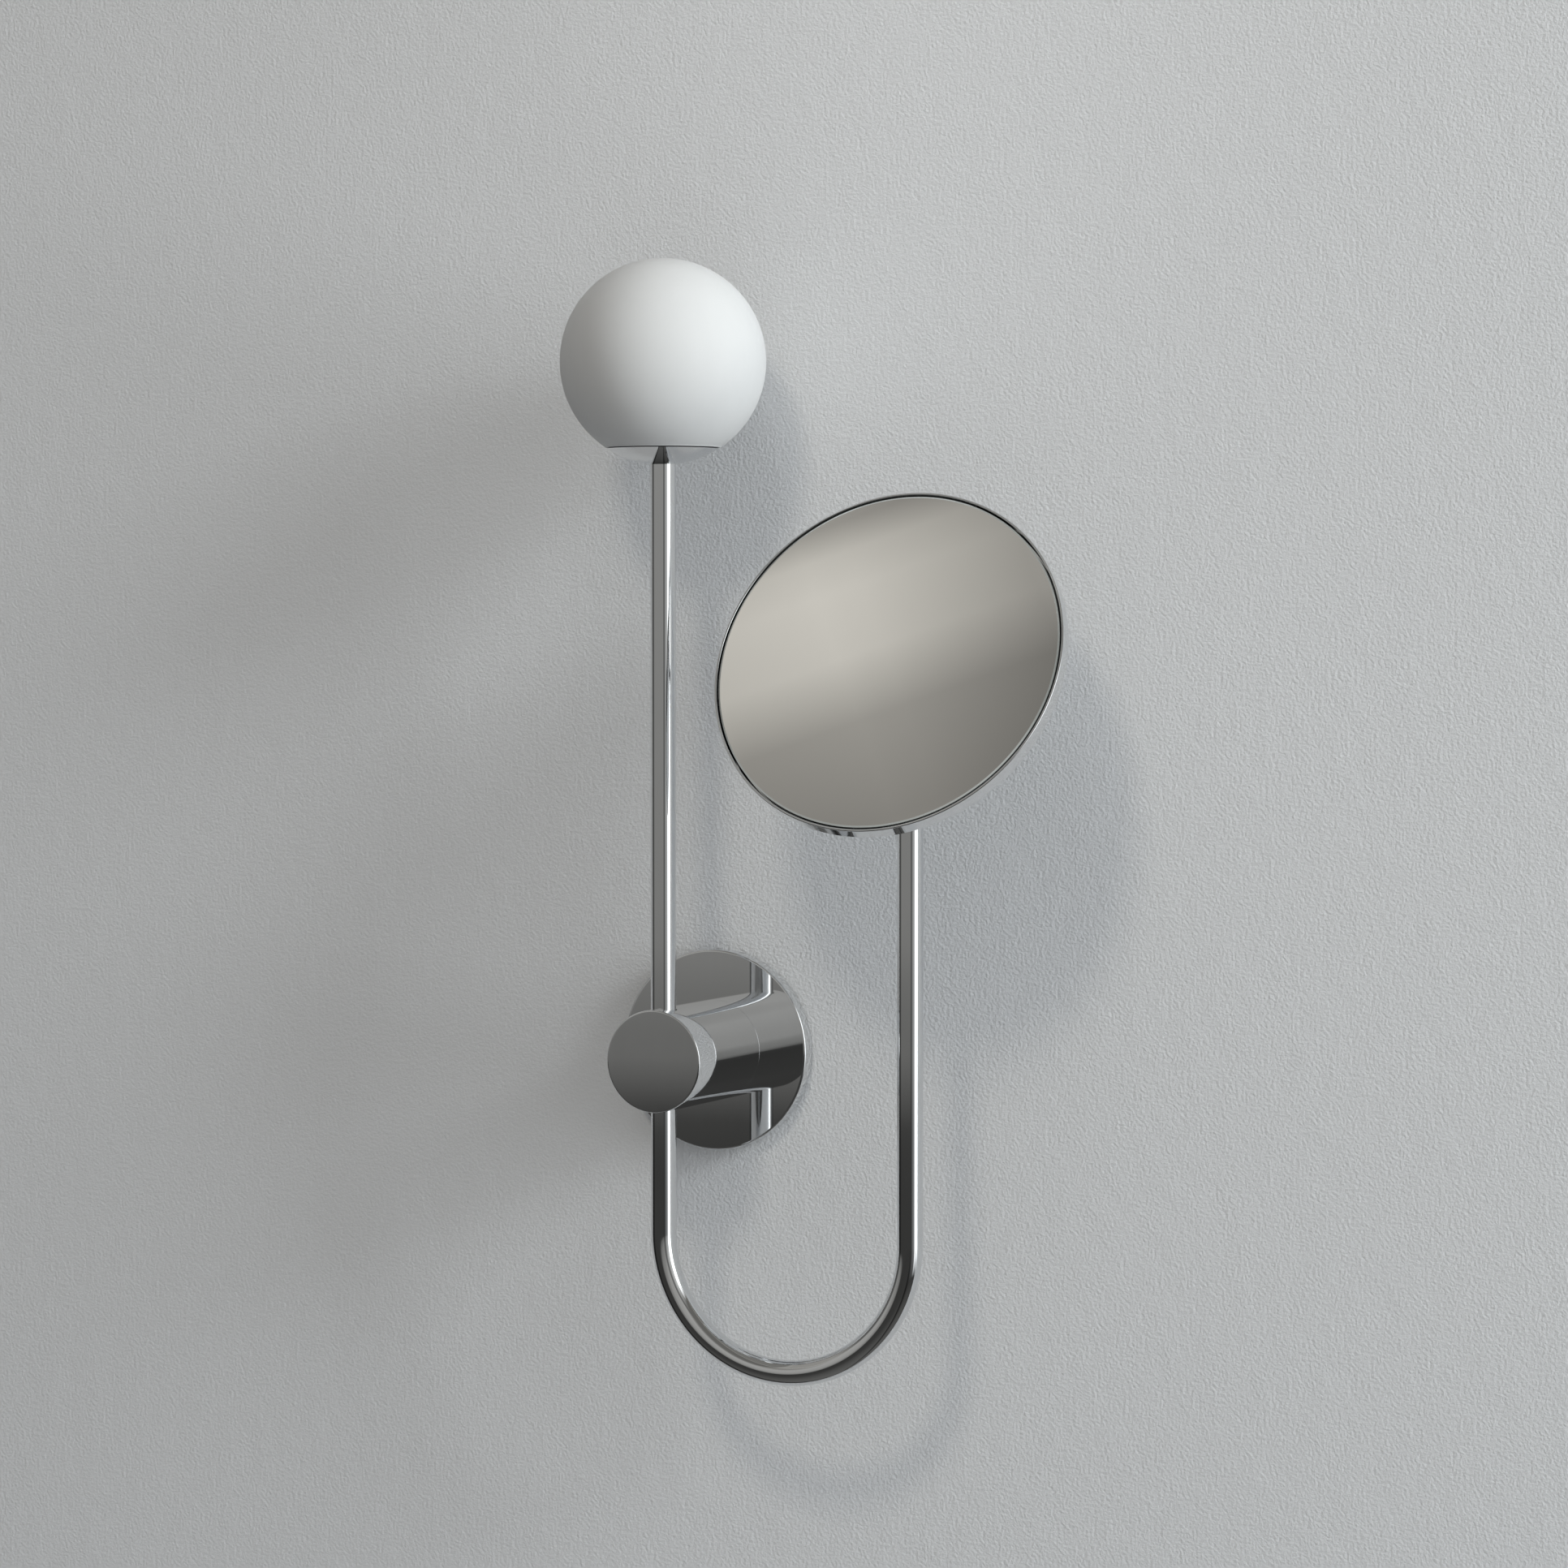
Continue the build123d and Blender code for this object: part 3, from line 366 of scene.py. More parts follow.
def smudge_group():
    """Soft cloudy mask, 0 to 1, for wiped-over polish and dulled patches."""
    tree, given, out = group("wiped_polish", [("Scale", 60.0), ("Contrast", 1.0)], ["Mask"])
    place = node(tree, "TexCoord")
    broad = node(tree, "TexNoise", [("Vector", place.outputs["Object"]), ("Scale", given.outputs["Scale"]),
                                    ("Detail", 4.0), ("Roughness", 0.55)])
    streaks = node(tree, "Mapping", [("Vector", place.outputs["Object"]), ("Scale", (9.0, 9.0, 2.0))])
    fine = node(tree, "TexNoise", [("Vector", streaks.outputs[0]), ("Scale", given.outputs["Scale"]),
                                   ("Detail", 2.0)])
    both = node(tree, "Math", [(0, broad.outputs["Fac"]), (1, fine.outputs["Fac"])], operation="MULTIPLY")
    lifted = node(tree, "Math", [(0, both.outputs[0]), (1, given.outputs["Contrast"])],
                  operation="MULTIPLY")
    spread = node(tree, "MapRange", [("Value", lifted.outputs[0]), ("From Min", 0.1), ("From Max", 0.5)])
    tree.links.new(spread.outputs[0], out.inputs["Mask"])
    return tree


def grain_group():
    """Fine even grain as a height, for satin, cast and moulded surfaces."""
    tree, given, out = group("fine_grain", [("Scale", 900.0), ("Broad", 0.3)], ["Height"])
    place = node(tree, "TexCoord")
    small = node(tree, "TexNoise", [("Vector", place.outputs["Object"]), ("Scale", given.outputs["Scale"]),
                                    ("Detail", 3.0), ("Roughness", 0.6)])
    wide = node(tree, "Math", [(0, given.outputs["Scale"]), (1, 0.12)], operation="MULTIPLY")
    large = node(tree, "TexNoise", [("Vector", place.outputs["Object"]), ("Scale", wide.outputs[0]),
                                    ("Detail", 2.0)])
    part = node(tree, "Math", [(0, large.outputs["Fac"]), (1, given.outputs["Broad"]),
                               (2, small.outputs["Fac"])], operation="MULTIPLY_ADD")
    tree.links.new(part.outputs[0], out.inputs["Height"])
    return tree


def turning_group():
    """Fine rings about a vertical or wall-normal axis: a lathe's marks, as a height."""
    tree, given, out = group("lathe_marks", [("Scale", 2500.0)], ["Height"])
    place = node(tree, "TexCoord")
    stretched = node(tree, "Mapping", [("Vector", place.outputs["Object"]), ("Scale", (0.02, 1.0, 1.0))])
    lines = node(tree, "TexNoise", [("Vector", stretched.outputs[0]), ("Scale", given.outputs["Scale"]),
                                    ("Detail", 1.0)])
    tree.links.new(lines.outputs["Fac"], out.inputs["Height"])
    return tree


GROUPS = {}


def shared(name):
    builders = {"wiped_polish": smudge_group, "fine_grain": grain_group, "lathe_marks": turning_group}
    if name not in GROUPS:
        GROUPS[name] = builders[name]()
    return GROUPS[name]


def use(tree, name, **values):
    made = tree.nodes.new("ShaderNodeGroup")
    made.node_tree = shared(name)
    for key, value in values.items():
        made.inputs[key].default_value = value
    return made


MATERIALS = {}


def surface(name, colour, metallic=0.0, rough=(0.3, 0.4), polish_scale=40.0, grain=None, marks=None,
            tint=0.0, **constants):
    """A Principled material whose roughness, tone and relief vary over the piece."""
    if name in MATERIALS:
        return MATERIALS[name]
    material = bpy.data.materials.new(name)
    material.use_nodes = True
    tree = material.node_tree
    shader = tree.nodes["Principled BSDF"]
    shader.inputs["Base Color"].default_value = colour
    shader.inputs["Metallic"].default_value = metallic
    for key, value in constants.items():
        shader.inputs[key.replace("_", " ")].default_value = value
    wiped = use(tree, "wiped_polish", Scale=polish_scale)
    roughness = node(tree, "MapRange", [("Value", wiped.outputs["Mask"]), ("To Min", rough[0]),
                                        ("To Max", rough[1])])
    tree.links.new(roughness.outputs[0], shader.inputs["Roughness"])
    if tint:
        darker = tuple(c * (1 - tint) for c in colour[:3]) + (1,)
        tone = node(tree, "Mix", [("Factor", wiped.outputs["Mask"])], data_type="RGBA")
        tone.inputs[6].default_value = colour
        tone.inputs[7].default_value = darker
        tree.links.new(tone.outputs[2], shader.inputs["Base Color"])
    relief = None
    if grain:
        relief = use(tree, "fine_grain", Scale=grain[0]), grain[1]
    if marks:
        relief = use(tree, "lathe_marks", Scale=marks[0]), marks[1]
    if relief:
        bump = node(tree, "Bump", [("Height", relief[0].outputs["Height"]), ("Strength", relief[1]),
                                   ("Distance", 0.1 * MM)])
        tree.links.new(bump.outputs[0], shader.inputs["Normal"])
    MATERIALS[name] = material
    return material


def chrome():
    polish = finish().polish
    return surface("chrome", tuple(finish().chrome), 1.0, (0.6 * polish, 1.6 * polish), 35.0, tint=0.02)


def silvering():
    return surface("silvered_glass", tuple(finish().silver), 1.0, (0.004, 0.02), 18.0, tint=0.01)


def ground_edge():
    return surface("ground_glass_edge", (0.78, 0.82, 0.81, 1), 0.85, (0.12, 0.22), 120.0,
                   grain=(4000.0, 0.2))


def opal():
    return surface("opal_glass", tuple(finish().opal), 0.0, (0.50, 0.58), 20.0, grain=(1800.0, 0.04),
                   tint=0.015, Subsurface_Weight=0.12, Subsurface_Radius=(0.012, 0.012, 0.012),
                   Subsurface_Scale=1.0, IOR=1.5)


def zinc():
    return surface("zinc_plate", (0.58, 0.58, 0.55, 1), 1.0, (0.28, 0.5), 90.0, grain=(1500.0, 0.25),
                   tint=0.12)


def steel():
    return surface("screw_steel", (0.52, 0.52, 0.53, 1), 1.0, (0.2, 0.36), 120.0, marks=(3000.0, 0.2),
                   tint=0.08)


def brass():
    return surface("turned_brass", (0.78, 0.60, 0.30, 1), 1.0, (0.16, 0.32), 70.0, marks=(2600.0, 0.25),
                   tint=0.10)


def aluminium():
    return surface("turned_aluminium", (0.74, 0.75, 0.76, 1), 1.0, (0.22, 0.38), 70.0,
                   marks=(2200.0, 0.25), tint=0.06)


def nylon():
    return surface("natural_nylon", (0.86, 0.84, 0.77, 1), 0.0, (0.38, 0.5), 60.0, grain=(2500.0, 0.1),
                   tint=0.05, Subsurface_Weight=0.2, Subsurface_Radius=(0.002, 0.002, 0.002))


def connector_plastic():
    return surface("connector_plastic", (0.85, 0.84, 0.80, 1), 0.0, (0.35, 0.48), 60.0,
                   grain=(2500.0, 0.15), tint=0.05)


def ceramic():
    return surface("glazed_ceramic", (0.88, 0.87, 0.83, 1), 0.0, (0.12, 0.22), 60.0, tint=0.04)


def capsule():
    return surface("frosted_capsule", (0.92, 0.91, 0.87, 1), 0.0, (0.4, 0.5), 60.0,
                   grain=(3000.0, 0.1), tint=0.03)


def rubber():
    return surface("black_rubber", (0.025, 0.025, 0.025, 1), 0.0, (0.55, 0.75), 80.0,
                   grain=(1500.0, 0.3), tint=0.2)


def foam():
    return surface("adhesive_foam", (0.10, 0.10, 0.10, 1), 0.0, (0.8, 0.95), 80.0, grain=(900.0, 0.6),
                   tint=0.2)


SLOT_FINISH = {
    "chrome": chrome, "mirror_glass": silvering, "opal_glass": opal, "zinc_steel": zinc,
    "steel_screw": steel, "brass": brass, "aluminium": aluminium, "nylon": nylon,
    "white_plastic": connector_plastic, "ceramic": ceramic, "lamp_body": capsule,
    "black_rubber": rubber, "foam": foam,
}


# ------------------------------------------------------------------ the pieces
class WALLLIGHT_OT_globe(bpy.types.Operator):
    """Opal globe: a blown sphere with a threaded neck turned into its opening"""

    bl_idname = "wall_light.globe"
    bl_label = "Opal globe"

    def execute(self, context):
        inner = GLOBE_R - sizes().globe_wall
        edge = low("globe_glass").z - GLOBE_AT.z
        thread_gap, neck_length = 0.2 * MM, 8 * MM
        neck_bore = high("globe_carrier").x - STEM_X + thread_gap
        neck_outer = neck_bore + sizes().globe_wall
        neck_top = edge + neck_length
        lip, eased = 0.4 * MM, 0.1 * MM
        edge_r = sqrt(GLOBE_R ** 2 - (edge + lip) ** 2)
        outline = arc((0, 0), GLOBE_R, asin((edge + lip) / GLOBE_R), pi / 2, 72)
        outline += arc((0, 0), inner, pi / 2, -acos(neck_outer / inner), 56)
        neck = rounded([(neck_outer, neck_top, lip), (neck_bore, neck_top, lip), (neck_bore, edge, lip),
                        (edge_r - eased, edge, 0)])
        outline += neck[:-2] + [Vector((edge_r - lip, edge)), Vector((edge_r - eased, edge + 0.4 * lip))]
        globe = turned("opal_globe", outline[::-1], GLOBE_AT, Z)
        finished(globe, "arm", opal(), ["globe_glass"])
        return {"FINISHED"}


class WALLLIGHT_OT_cup(bpy.types.Operator):
    """Chrome cup that continues the globe's sphere, and the rubber ring in the joint"""

    bl_idname = "wall_light.cup"
    bl_label = "Globe cup"

    def execute(self, context):
        inner = GLOBE_R - sizes().cup_wall
        rim = high("globe_cup").z - GLOBE_AT.z
        seat = low("globe_carrier").z - GLOBE_AT.z
        socket = TUBE_TOP - GLOBE_AT.z
        bore = high("stem_nipple").x - STEM_X + SLACK
        boss = 9 * MM
        tube_hole = TUBE_R + SLACK
        outline = arc((0, 0), GLOBE_R, -acos(tube_hole / GLOBE_R), asin(rim / GLOBE_R), 40)
        outline += arc((0, 0), inner, asin(rim / inner), -acos(boss / inner), 28)
        outline += rounded([(boss, seat, 0.3 * MM), (bore, seat, 0.2 * MM), (bore, socket, 0),
                            (tube_hole, socket, 0)])
        cup = turned("globe_cup_shell", outline, GLOBE_AT, Z)
        finished(cup, "arm", chrome(), ["globe_cup"])
        ring_low = low("globe_gasket").z - GLOBE_AT.z
        ring_high = high("globe_gasket").z - GLOBE_AT.z
        ring_outer = high("globe_gasket").x - STEM_X
        ring_gap, lip = 0.1 * MM, 0.15 * MM
        ring_inner = high("globe_carrier").x - STEM_X + ring_gap
        ring = turned("globe_joint_ring", rounded([
            (ring_outer, ring_low, lip), (ring_outer, ring_high, lip), (ring_inner, ring_high, lip),
            (ring_inner, ring_low, lip)], 3), GLOBE_AT, Z)
        finished(ring, "arm", rubber(), ["globe_gasket"])
        return {"FINISHED"}


class WALLLIGHT_OT_arm_tube(bpy.types.Operator):
    """The bent tube: a ring drawn down the stem, spun round the bend and drawn up the post"""

    bl_idname = "wall_light.arm_tube"
    bl_label = "Bent tube"

    def execute(self, context):
        bush_flange = 1.2 * MM
        post_top = low("post_washer").z - bush_flange
        clear_selection()
        bpy.ops.mesh.primitive_circle_add(vertices=sizes().steps // 2, radius=TUBE_R,
                                          location=(STEM_X, TUBE_Y, TUBE_TOP))
        bpy.ops.object.transform_apply(location=True, rotation=True, scale=True)
        tube = start("bent_tube")
        drag(Z * (BEND_Z - TUBE_TOP))
        bpy.ops.mesh.spin(steps=96, angle=pi, center=(STEM_X + BEND_R, TUBE_Y, BEND_Z), axis=Y)
        drag(Z * (post_top - BEND_Z))
        tidy_mesh()
        bpy.ops.object.mode_set(mode="OBJECT")
        apply_modifier(tube, "SOLIDIFY", thickness=sizes().tube_wall, offset=-1.0)
        finished(tube, "arm", chrome(), ["arm_tube"])
        return {"FINISHED"}


class WALLLIGHT_OT_boss(bpy.types.Operator):
    """Closed-fronted barrel with the two holes that the tube passes through"""

    bl_idname = "wall_light.boss"
    bl_label = "Boss"

    def execute(self, context):
        bore = BOSS_R - sizes().boss_wall
        inside = -low("swivel_block").y
        outline = rounded([(0, BOSS_FRONT, 0), (BOSS_R, BOSS_FRONT, sizes().boss_edge),
                           (BOSS_R, PLATE_FRONT, 0.15 * MM), (bore, PLATE_FRONT, 0.3 * MM),
                           (bore, inside, 0.4 * MM), (0, inside, 0)], 6)
        boss = turned("boss_barrel", outline, Vector((0, 0, 0)), OUT, closed=False,
                      steps=broad_steps())
        hole = rod("tube_hole", Vector((STEM_X, TUBE_Y, 0)), Z, TUBE_R + sizes().tube_gap, 3 * BOSS_R, 96)
        cut(boss, hole)
        finished(boss, "wall_mount", chrome(), ["boss"])
        return {"FINISHED"}


class WALLLIGHT_OT_wall_plate(bpy.types.Operator):
    """Dished round plate with its rubber ring, holed for the cable and the two grub screws"""

    bl_idname = "wall_light.wall_plate"
    bl_label = "Wall plate"

    def execute(self, context):
        wall = sizes().plate_wall
        outline = rounded([(0, PLATE_FRONT, 0), (PLATE_R, PLATE_FRONT, sizes().plate_edge),
                           (PLATE_R, PLATE_BACK, 0.2 * MM), (PLATE_R - wall, PLATE_BACK, 0.2 * MM),
                           (PLATE_R - wall, PLATE_FRONT - wall, 0.6 * MM), (0, PLATE_FRONT - wall, 0)], 6)
        plate = turned("dished_plate", outline, Vector((0, 0, 0)), OUT, closed=False,
                       steps=broad_steps())
        cable, cable_r = middle("cable_grommet"), 6 * MM
        cut(plate, rod("cable_hole", Vector((cable.x, -PLATE_FRONT, cable.z)), Y, cable_r, 10 * MM))
        screws, grub_r = middle("plate_screws"), 2.2 * MM
        cut(plate, rod("grub_holes", Vector((screws.x, screws.y, 0)), Z, grub_r, 3 * PLATE_R))
        finished(plate, "wall_mount", chrome(), ["wall_plate"])
        lip, ring_width = 0.2 * MM, 3 * MM
        ring_outer = snapped(high("plate_gasket").x)
        ring_inner = ring_outer - ring_width
        ring = turned("plate_joint_ring", rounded([
            (ring_outer, 0, lip), (ring_outer, PLATE_BACK, lip), (ring_inner, PLATE_BACK, lip),
            (ring_inner, 0, lip)], 3), Vector((0, 0, 0)), OUT)
        finished(ring, "wall_mount", rubber(), ["plate_gasket"])
        return {"FINISHED"}


class WALLLIGHT_OT_mirror_housing(bpy.types.Operator):
    """Shallow round pan that holds the mirror"""

    bl_idname = "wall_light.mirror_housing"
    bl_label = "Mirror housing"

    def execute(self, context):
        rim = sizes().mirror_rim
        back_edge, inner_corner = 1.5 * MM, 0.5 * MM
        front_outer, front_inner = 0.52 * rim / 1.1, 0.46 * rim / 1.1
        outline = rounded([(0, HOUSING_BACK, 0), (MIRROR_R, HOUSING_BACK, back_edge),
                           (MIRROR_R, HOUSING_FRONT, front_outer),
                           (MIRROR_R - rim, HOUSING_FRONT, front_inner),
                           (MIRROR_R - rim, HOUSING_BACK + rim, inner_corner),
                           (0, HOUSING_BACK + rim, 0)], 8)
        pan = turned("mirror_pan", outline, TILT_AT, LOOK, closed=False, steps=broad_steps())
        finished(pan, "mirror_head", chrome(), ["mirror_housing"])
        return {"FINISHED"}


class WALLLIGHT_OT_mirror_glass(bpy.types.Operator):
    """Round mirror with a narrow ground bevel"""

    bl_idname = "wall_light.mirror_glass"
    bl_label = "Mirror glass"

    def execute(self, context):
        below_rim, thickness, eased = 0.2 * MM, 4 * MM, 0.2 * MM
        radius = MIRROR_R - sizes().mirror_rim - sizes().mirror_gap
        front = HOUSING_FRONT - below_rim
        back = front - thickness
        bevel = sizes().mirror_bevel
        outline = [Vector(p) for p in (
            (0, front), (radius - bevel, front), (radius, front - 0.4 * bevel),
            (radius, back + eased), (radius - eased, back), (0, back))]
        glass = turned("round_mirror", outline, TILT_AT, LOOK, closed=False, steps=broad_steps())
        finished(glass, "mirror_head", silvering(), ["mirror_glass"], smooth=10)
        glass.data.materials.append(ground_edge())
        for face in glass.data.polygons:
            out = face.center - TILT_AT
            if (out - LOOK * out.dot(LOOK)).length > radius - bevel:
                face.material_index = 1
        return {"FINISHED"}


class WALLLIGHT_OT_mirror_hub(bpy.types.Operator):
    """Flange on the mirror's back with the tongue that turns on the tilt pin"""

    bl_idname = "wall_light.mirror_hub"
    bl_label = "Mirror hub"

    def execute(self, context):
        flange_r, eye_r, neck, tongue_t, pin_hole_r = 18 * MM, 6 * MM, 4.2 * MM, 5 * MM, 2.05 * MM
        cone_wide, cone_narrow, cone_h = 7 * MM, 5.5 * MM, 4 * MM
        outline = rounded([(0, HOUSING_BACK, 0), (flange_r, HOUSING_BACK, 0.3 * MM),
                           (flange_r, HUB_BACK, 0.8 * MM), (cone_wide, HUB_BACK, 1.2 * MM),
                           (cone_narrow, HUB_BACK - cone_h, 0.6 * MM), (0, HUB_BACK - cone_h, 0)], 5)
        flange = turned("mirror_hub_flange", outline, TILT_AT, LOOK, closed=False, steps=128)
        reach = HUB_BACK - 2 * MM
        side = asin(neck / eye_r)
        eye = [(eye_r * cos(a), eye_r * sin(a)) for a in
               [side + (2 * pi - 2 * side) * step / 40 for step in range(41)]]
        tongue = slab("mirror_hub_tongue", [(reach, neck)] + eye + [(reach, -neck)], TILT_AT, LOOK,
                      LOOK.cross(X), tongue_t)
        cut(tongue, rod("pin_hole", TILT_AT, X, pin_hole_r, 12 * MM))
        hub = join(tongue, flange)
        finished(hub, "mirror_head", chrome(), ["mirror_hub"])
        return {"FINISHED"}


class WALLLIGHT_OT_knuckle(bpy.types.Operator):
    """Knuckle at the top of the post: spindle, flared base and two ears"""

    bl_idname = "wall_light.knuckle"
    bl_label = "Knuckle"

    def execute(self, context):
        clear, head_h, pin_hole_r = 0.1 * MM, 1.5 * MM, 2.02 * MM
        base_low = high("post_washer").z + clear - TILT_AT.z
        base_top = -6.4 * MM
        spindle_low = low("swivel_fork").z - TILT_AT.z
        base_r = snapped(high("swivel_fork").x - POST_X)
        spindle_r = 3 * MM
        outline = rounded([(0, base_top, 0), (base_r, base_top, 0.5 * MM),
                           (base_r, base_top - head_h, 0.6 * MM), (TUBE_R, base_low, 0.3 * MM),
                           (spindle_r, base_low, 0), (spindle_r, spindle_low, 0.3 * MM),
                           (0, spindle_low, 0)], 5)
        base = turned("knuckle_fork", outline, TILT_AT, Z, closed=False, steps=128)
        ear_in, ear_t, bite = 3.2 * MM, 4 * MM, 0.3 * MM
        top = [(TUBE_R * cos(a), TUBE_R * sin(a)) for a in [pi * step / 32 for step in range(33)]]
        ears = []
        for side in (-1, 1):
            ear = slab("ear", top + [(-TUBE_R, base_top - bite), (TUBE_R, base_top - bite)],
                       TILT_AT + X * side * (ear_in + ear_t / 2), Y, Z, ear_t, 0.5 * MM)
            cut(ear, rod("pin_hole", TILT_AT, X, pin_hole_r, 40 * MM))
            ears.append(ear)
        fork = join(base, *ears)
        finished(fork, "mirror_swivel", chrome(), ["swivel_fork"])
        return {"FINISHED"}


class WALLLIGHT_OT_tilt_fasteners(bpy.types.Operator):
    """Tilt pin with its socket head, the cap nut on the other ear and the friction washers"""

    bl_idname = "wall_light.tilt_fasteners"
    bl_label = "Tilt fasteners"

    def execute(self, context):
        ear_face, cap, cap_r, pin_r = 7.2 * MM, 2.4 * MM, 3.8 * MM, 2 * MM
        pin_end, nut_bore_r, nut_depth = -ear_face - 1.5 * MM, pin_r + SLACK, 1.7 * MM
        socket_r, socket_l = 1.2 * MM, 2.8 * MM
        bolt = turned("tilt_pin", rounded([
            (0, pin_end, 0), (pin_r, pin_end, 0.2 * MM), (pin_r, ear_face, 0),
            (cap_r, ear_face, 0.2 * MM), (cap_r, ear_face + cap, 1.1 * MM), (0, ear_face + cap, 0)], 6),
            TILT_AT, X, closed=False, steps=96)
        cut(bolt, rod("hex_socket", TILT_AT + X * (ear_face + cap), X, socket_r, socket_l, 6))
        finished(bolt, "mirror_swivel", chrome(), ["tilt_bolt"])
        nut = turned("tilt_cap_nut", rounded([
            (0, ear_face + cap, 0), (cap_r, ear_face + cap, 1.2 * MM), (cap_r, ear_face, 0.2 * MM),
            (nut_bore_r, ear_face, 0), (nut_bore_r, ear_face + nut_depth, 0),
            (0, ear_face + nut_depth, 0)], 6), TILT_AT, -X, closed=False, steps=96)
        finished(nut, "mirror_swivel", chrome(), ["tilt_nut"])
        outer, bore, near, far, lip = 5.5 * MM, 2.1 * MM, 2.6 * MM, 3.2 * MM, 0.1 * MM
        section = rounded([(outer, near, lip), (outer, far, lip), (bore, far, lip), (bore, near, lip)], 2)
        rings = [turned("tilt_friction_rings", section, TILT_AT, side, steps=96) for side in (X, -X)]
        finished(join(*rings), "mirror_swivel", nylon(), ["tilt_washers"])
        return {"FINISHED"}


class WALLLIGHT_OT_hub_screws(bpy.types.Operator):
    """Three pan-head screws through the hub's flange"""

    bl_idname = "wall_light.hub_screws"
    bl_label = "Hub screws"

    def execute(self, context):
        ring, shank_r, head_r, head_h = 12.5 * MM, 1.5 * MM, 2.7 * MM, 1.6 * MM
        socket_r, socket_l = 0.9 * MM, 2 * MM
        screw_end, screw_face = HUB_BACK + 5.5 * MM, HUB_BACK - head_h
        screws = []
        for count in range(3):
            turn = pi / 2 + count * 2 * pi / 3
            at = TILT_AT + X * ring * cos(turn) + LOOK.cross(X) * ring * sin(turn)
            screw = turned("hub_screw_set", rounded([
                (0, screw_face, 0), (head_r, screw_face, 0.7 * MM),
                (head_r, HUB_BACK, 0.1 * MM), (shank_r, HUB_BACK, 0),
                (shank_r, screw_end, 0.3 * MM), (0, screw_end, 0)], 5),
                at, LOOK, closed=False, steps=48)
            cut(screw, rod("hex_socket", at + LOOK * screw_face, LOOK, socket_r, socket_l, 6))
            screws.append(screw)
        finished(join(*screws), "mirror_head", steel(), ["hub_screws"])
        return {"FINISHED"}


class WALLLIGHT_OT_inner_parts(bpy.types.Operator):
    """Finishes for the bracket, bearing, fasteners and lamp parts carried over as they are"""

    bl_idname = "wall_light.inner_parts"
    bl_label = "Inner parts"

    def execute(self, context):
        for part in frame["record"]["subparts"]:
            obj = NODES[part["node"]]
            obj.data.materials.clear()
            obj.data.materials.append(SLOT_FINISH[part["material_slot"]]())
        return {"FINISHED"}


# ------------------------------------------------------------------ the stage
def plaster(name, colour, one_sided):
    """Painted plaster with a rolled, slightly pitted texture."""
    material = bpy.data.materials.new(name)
    material.use_nodes = True
    tree = material.node_tree
    shader = tree.nodes["Principled BSDF"]
    shader.inputs["Base Color"].default_value = colour
    shader.inputs["Roughness"].default_value = 0.85
    shader.inputs["Specular IOR Level"].default_value = 0.2
    fine = use(tree, "fine_grain", Scale=620.0, Broad=0.5)
    bump = node(tree, "Bump", [("Height", fine.outputs["Height"]), ("Strength", 0.42),
                               ("Distance", 1.2 * MM)])
    tree.links.new(bump.outputs[0], shader.inputs["Normal"])
    if one_sided:
        clear = node(tree, "BsdfTransparent")
        side = node(tree, "NewGeometry")
        mix = node(tree, "MixShader", [(0, side.outputs["Backfacing"]), (1, shader.outputs[0]),
                                       (2, clear.outputs[0])])
        tree.links.new(mix.outputs[0], tree.nodes["Material Output"].inputs["Surface"])
    return material


def wall_of_stage(material):
    """A broad wall with an opening behind the plate: a small circle drawn outwards."""
    opening_r, spread = PLATE_R - 6 * MM, 120
    clear_selection()
    bpy.ops.mesh.primitive_circle_add(vertices=96, radius=opening_r, location=(0, 0, 0),
                                      rotation=(pi / 2, 0, 0))
    obj = start("backdrop_wall")
    drag((0, 0, 0))
    bpy.ops.transform.resize(value=(spread, spread, spread), center_override=(0, 0, 0))
    bpy.ops.mesh.select_all(action="SELECT")
    bpy.ops.transform.translate(value=(0, 0.2 * MM, 0))
    bpy.ops.mesh.normals_make_consistent(inside=False)
    bpy.ops.object.mode_set(mode="OBJECT")
    bpy.ops.object.transform_apply(location=True, rotation=True, scale=True)
    if obj.data.polygons[0].normal.y > 0:
        bpy.ops.object.mode_set(mode="EDIT")
        bpy.ops.mesh.select_all(action="SELECT")
        bpy.ops.mesh.flip_normals()
        bpy.ops.object.mode_set(mode="OBJECT")
    obj.data.materials.append(material)
    clear_selection()


def floor_of_stage(material):
    clear_selection()
    bpy.ops.mesh.primitive_plane_add(size=9.0, location=(0, -2.0, -1.5))
    obj = bpy.context.active_object
    obj.name = obj.data.name = "floor"
    bpy.ops.object.transform_apply(location=True, rotation=True, scale=True)
    obj.data.materials.append(material)
    obj.visible_glossy = False
    clear_selection()


def softbox(name, target, azimuth, elevation, distance, width, height, power, colour):
    """A rectangular lamp that faces its target and leaves no reflection."""
    light = bpy.data.lights.new(name, "AREA")
    light.shape = "RECTANGLE"
    light.size, light.size_y = width, height
    light.energy, light.color = power, colour
    obj = bpy.data.objects.new(name, light)
    obj.visible_glossy = False
    bpy.context.scene.collection.objects.link(obj)
    way = Vector((sin(azimuth) * cos(elevation), -cos(azimuth) * cos(elevation), sin(elevation)))
    obj.location = target + way * distance
    obj.rotation_euler = way.to_track_quat("Z", "Y").to_euler()
    return obj


def set_ramp(ramp, stops, tint=(1.0, 1.0, 1.0)):
    """Fill a ramp with grey tones at their places, all of one tint."""
    elements = ramp.color_ramp.elements
    while len(elements) > 1:
        elements.remove(elements[-1])
    for index, (place, value) in enumerate(stops):
        element = elements[0] if index == 0 else elements.new(place)
        element.position = place
        element.color = tuple(value * t for t in tint) + (1,)


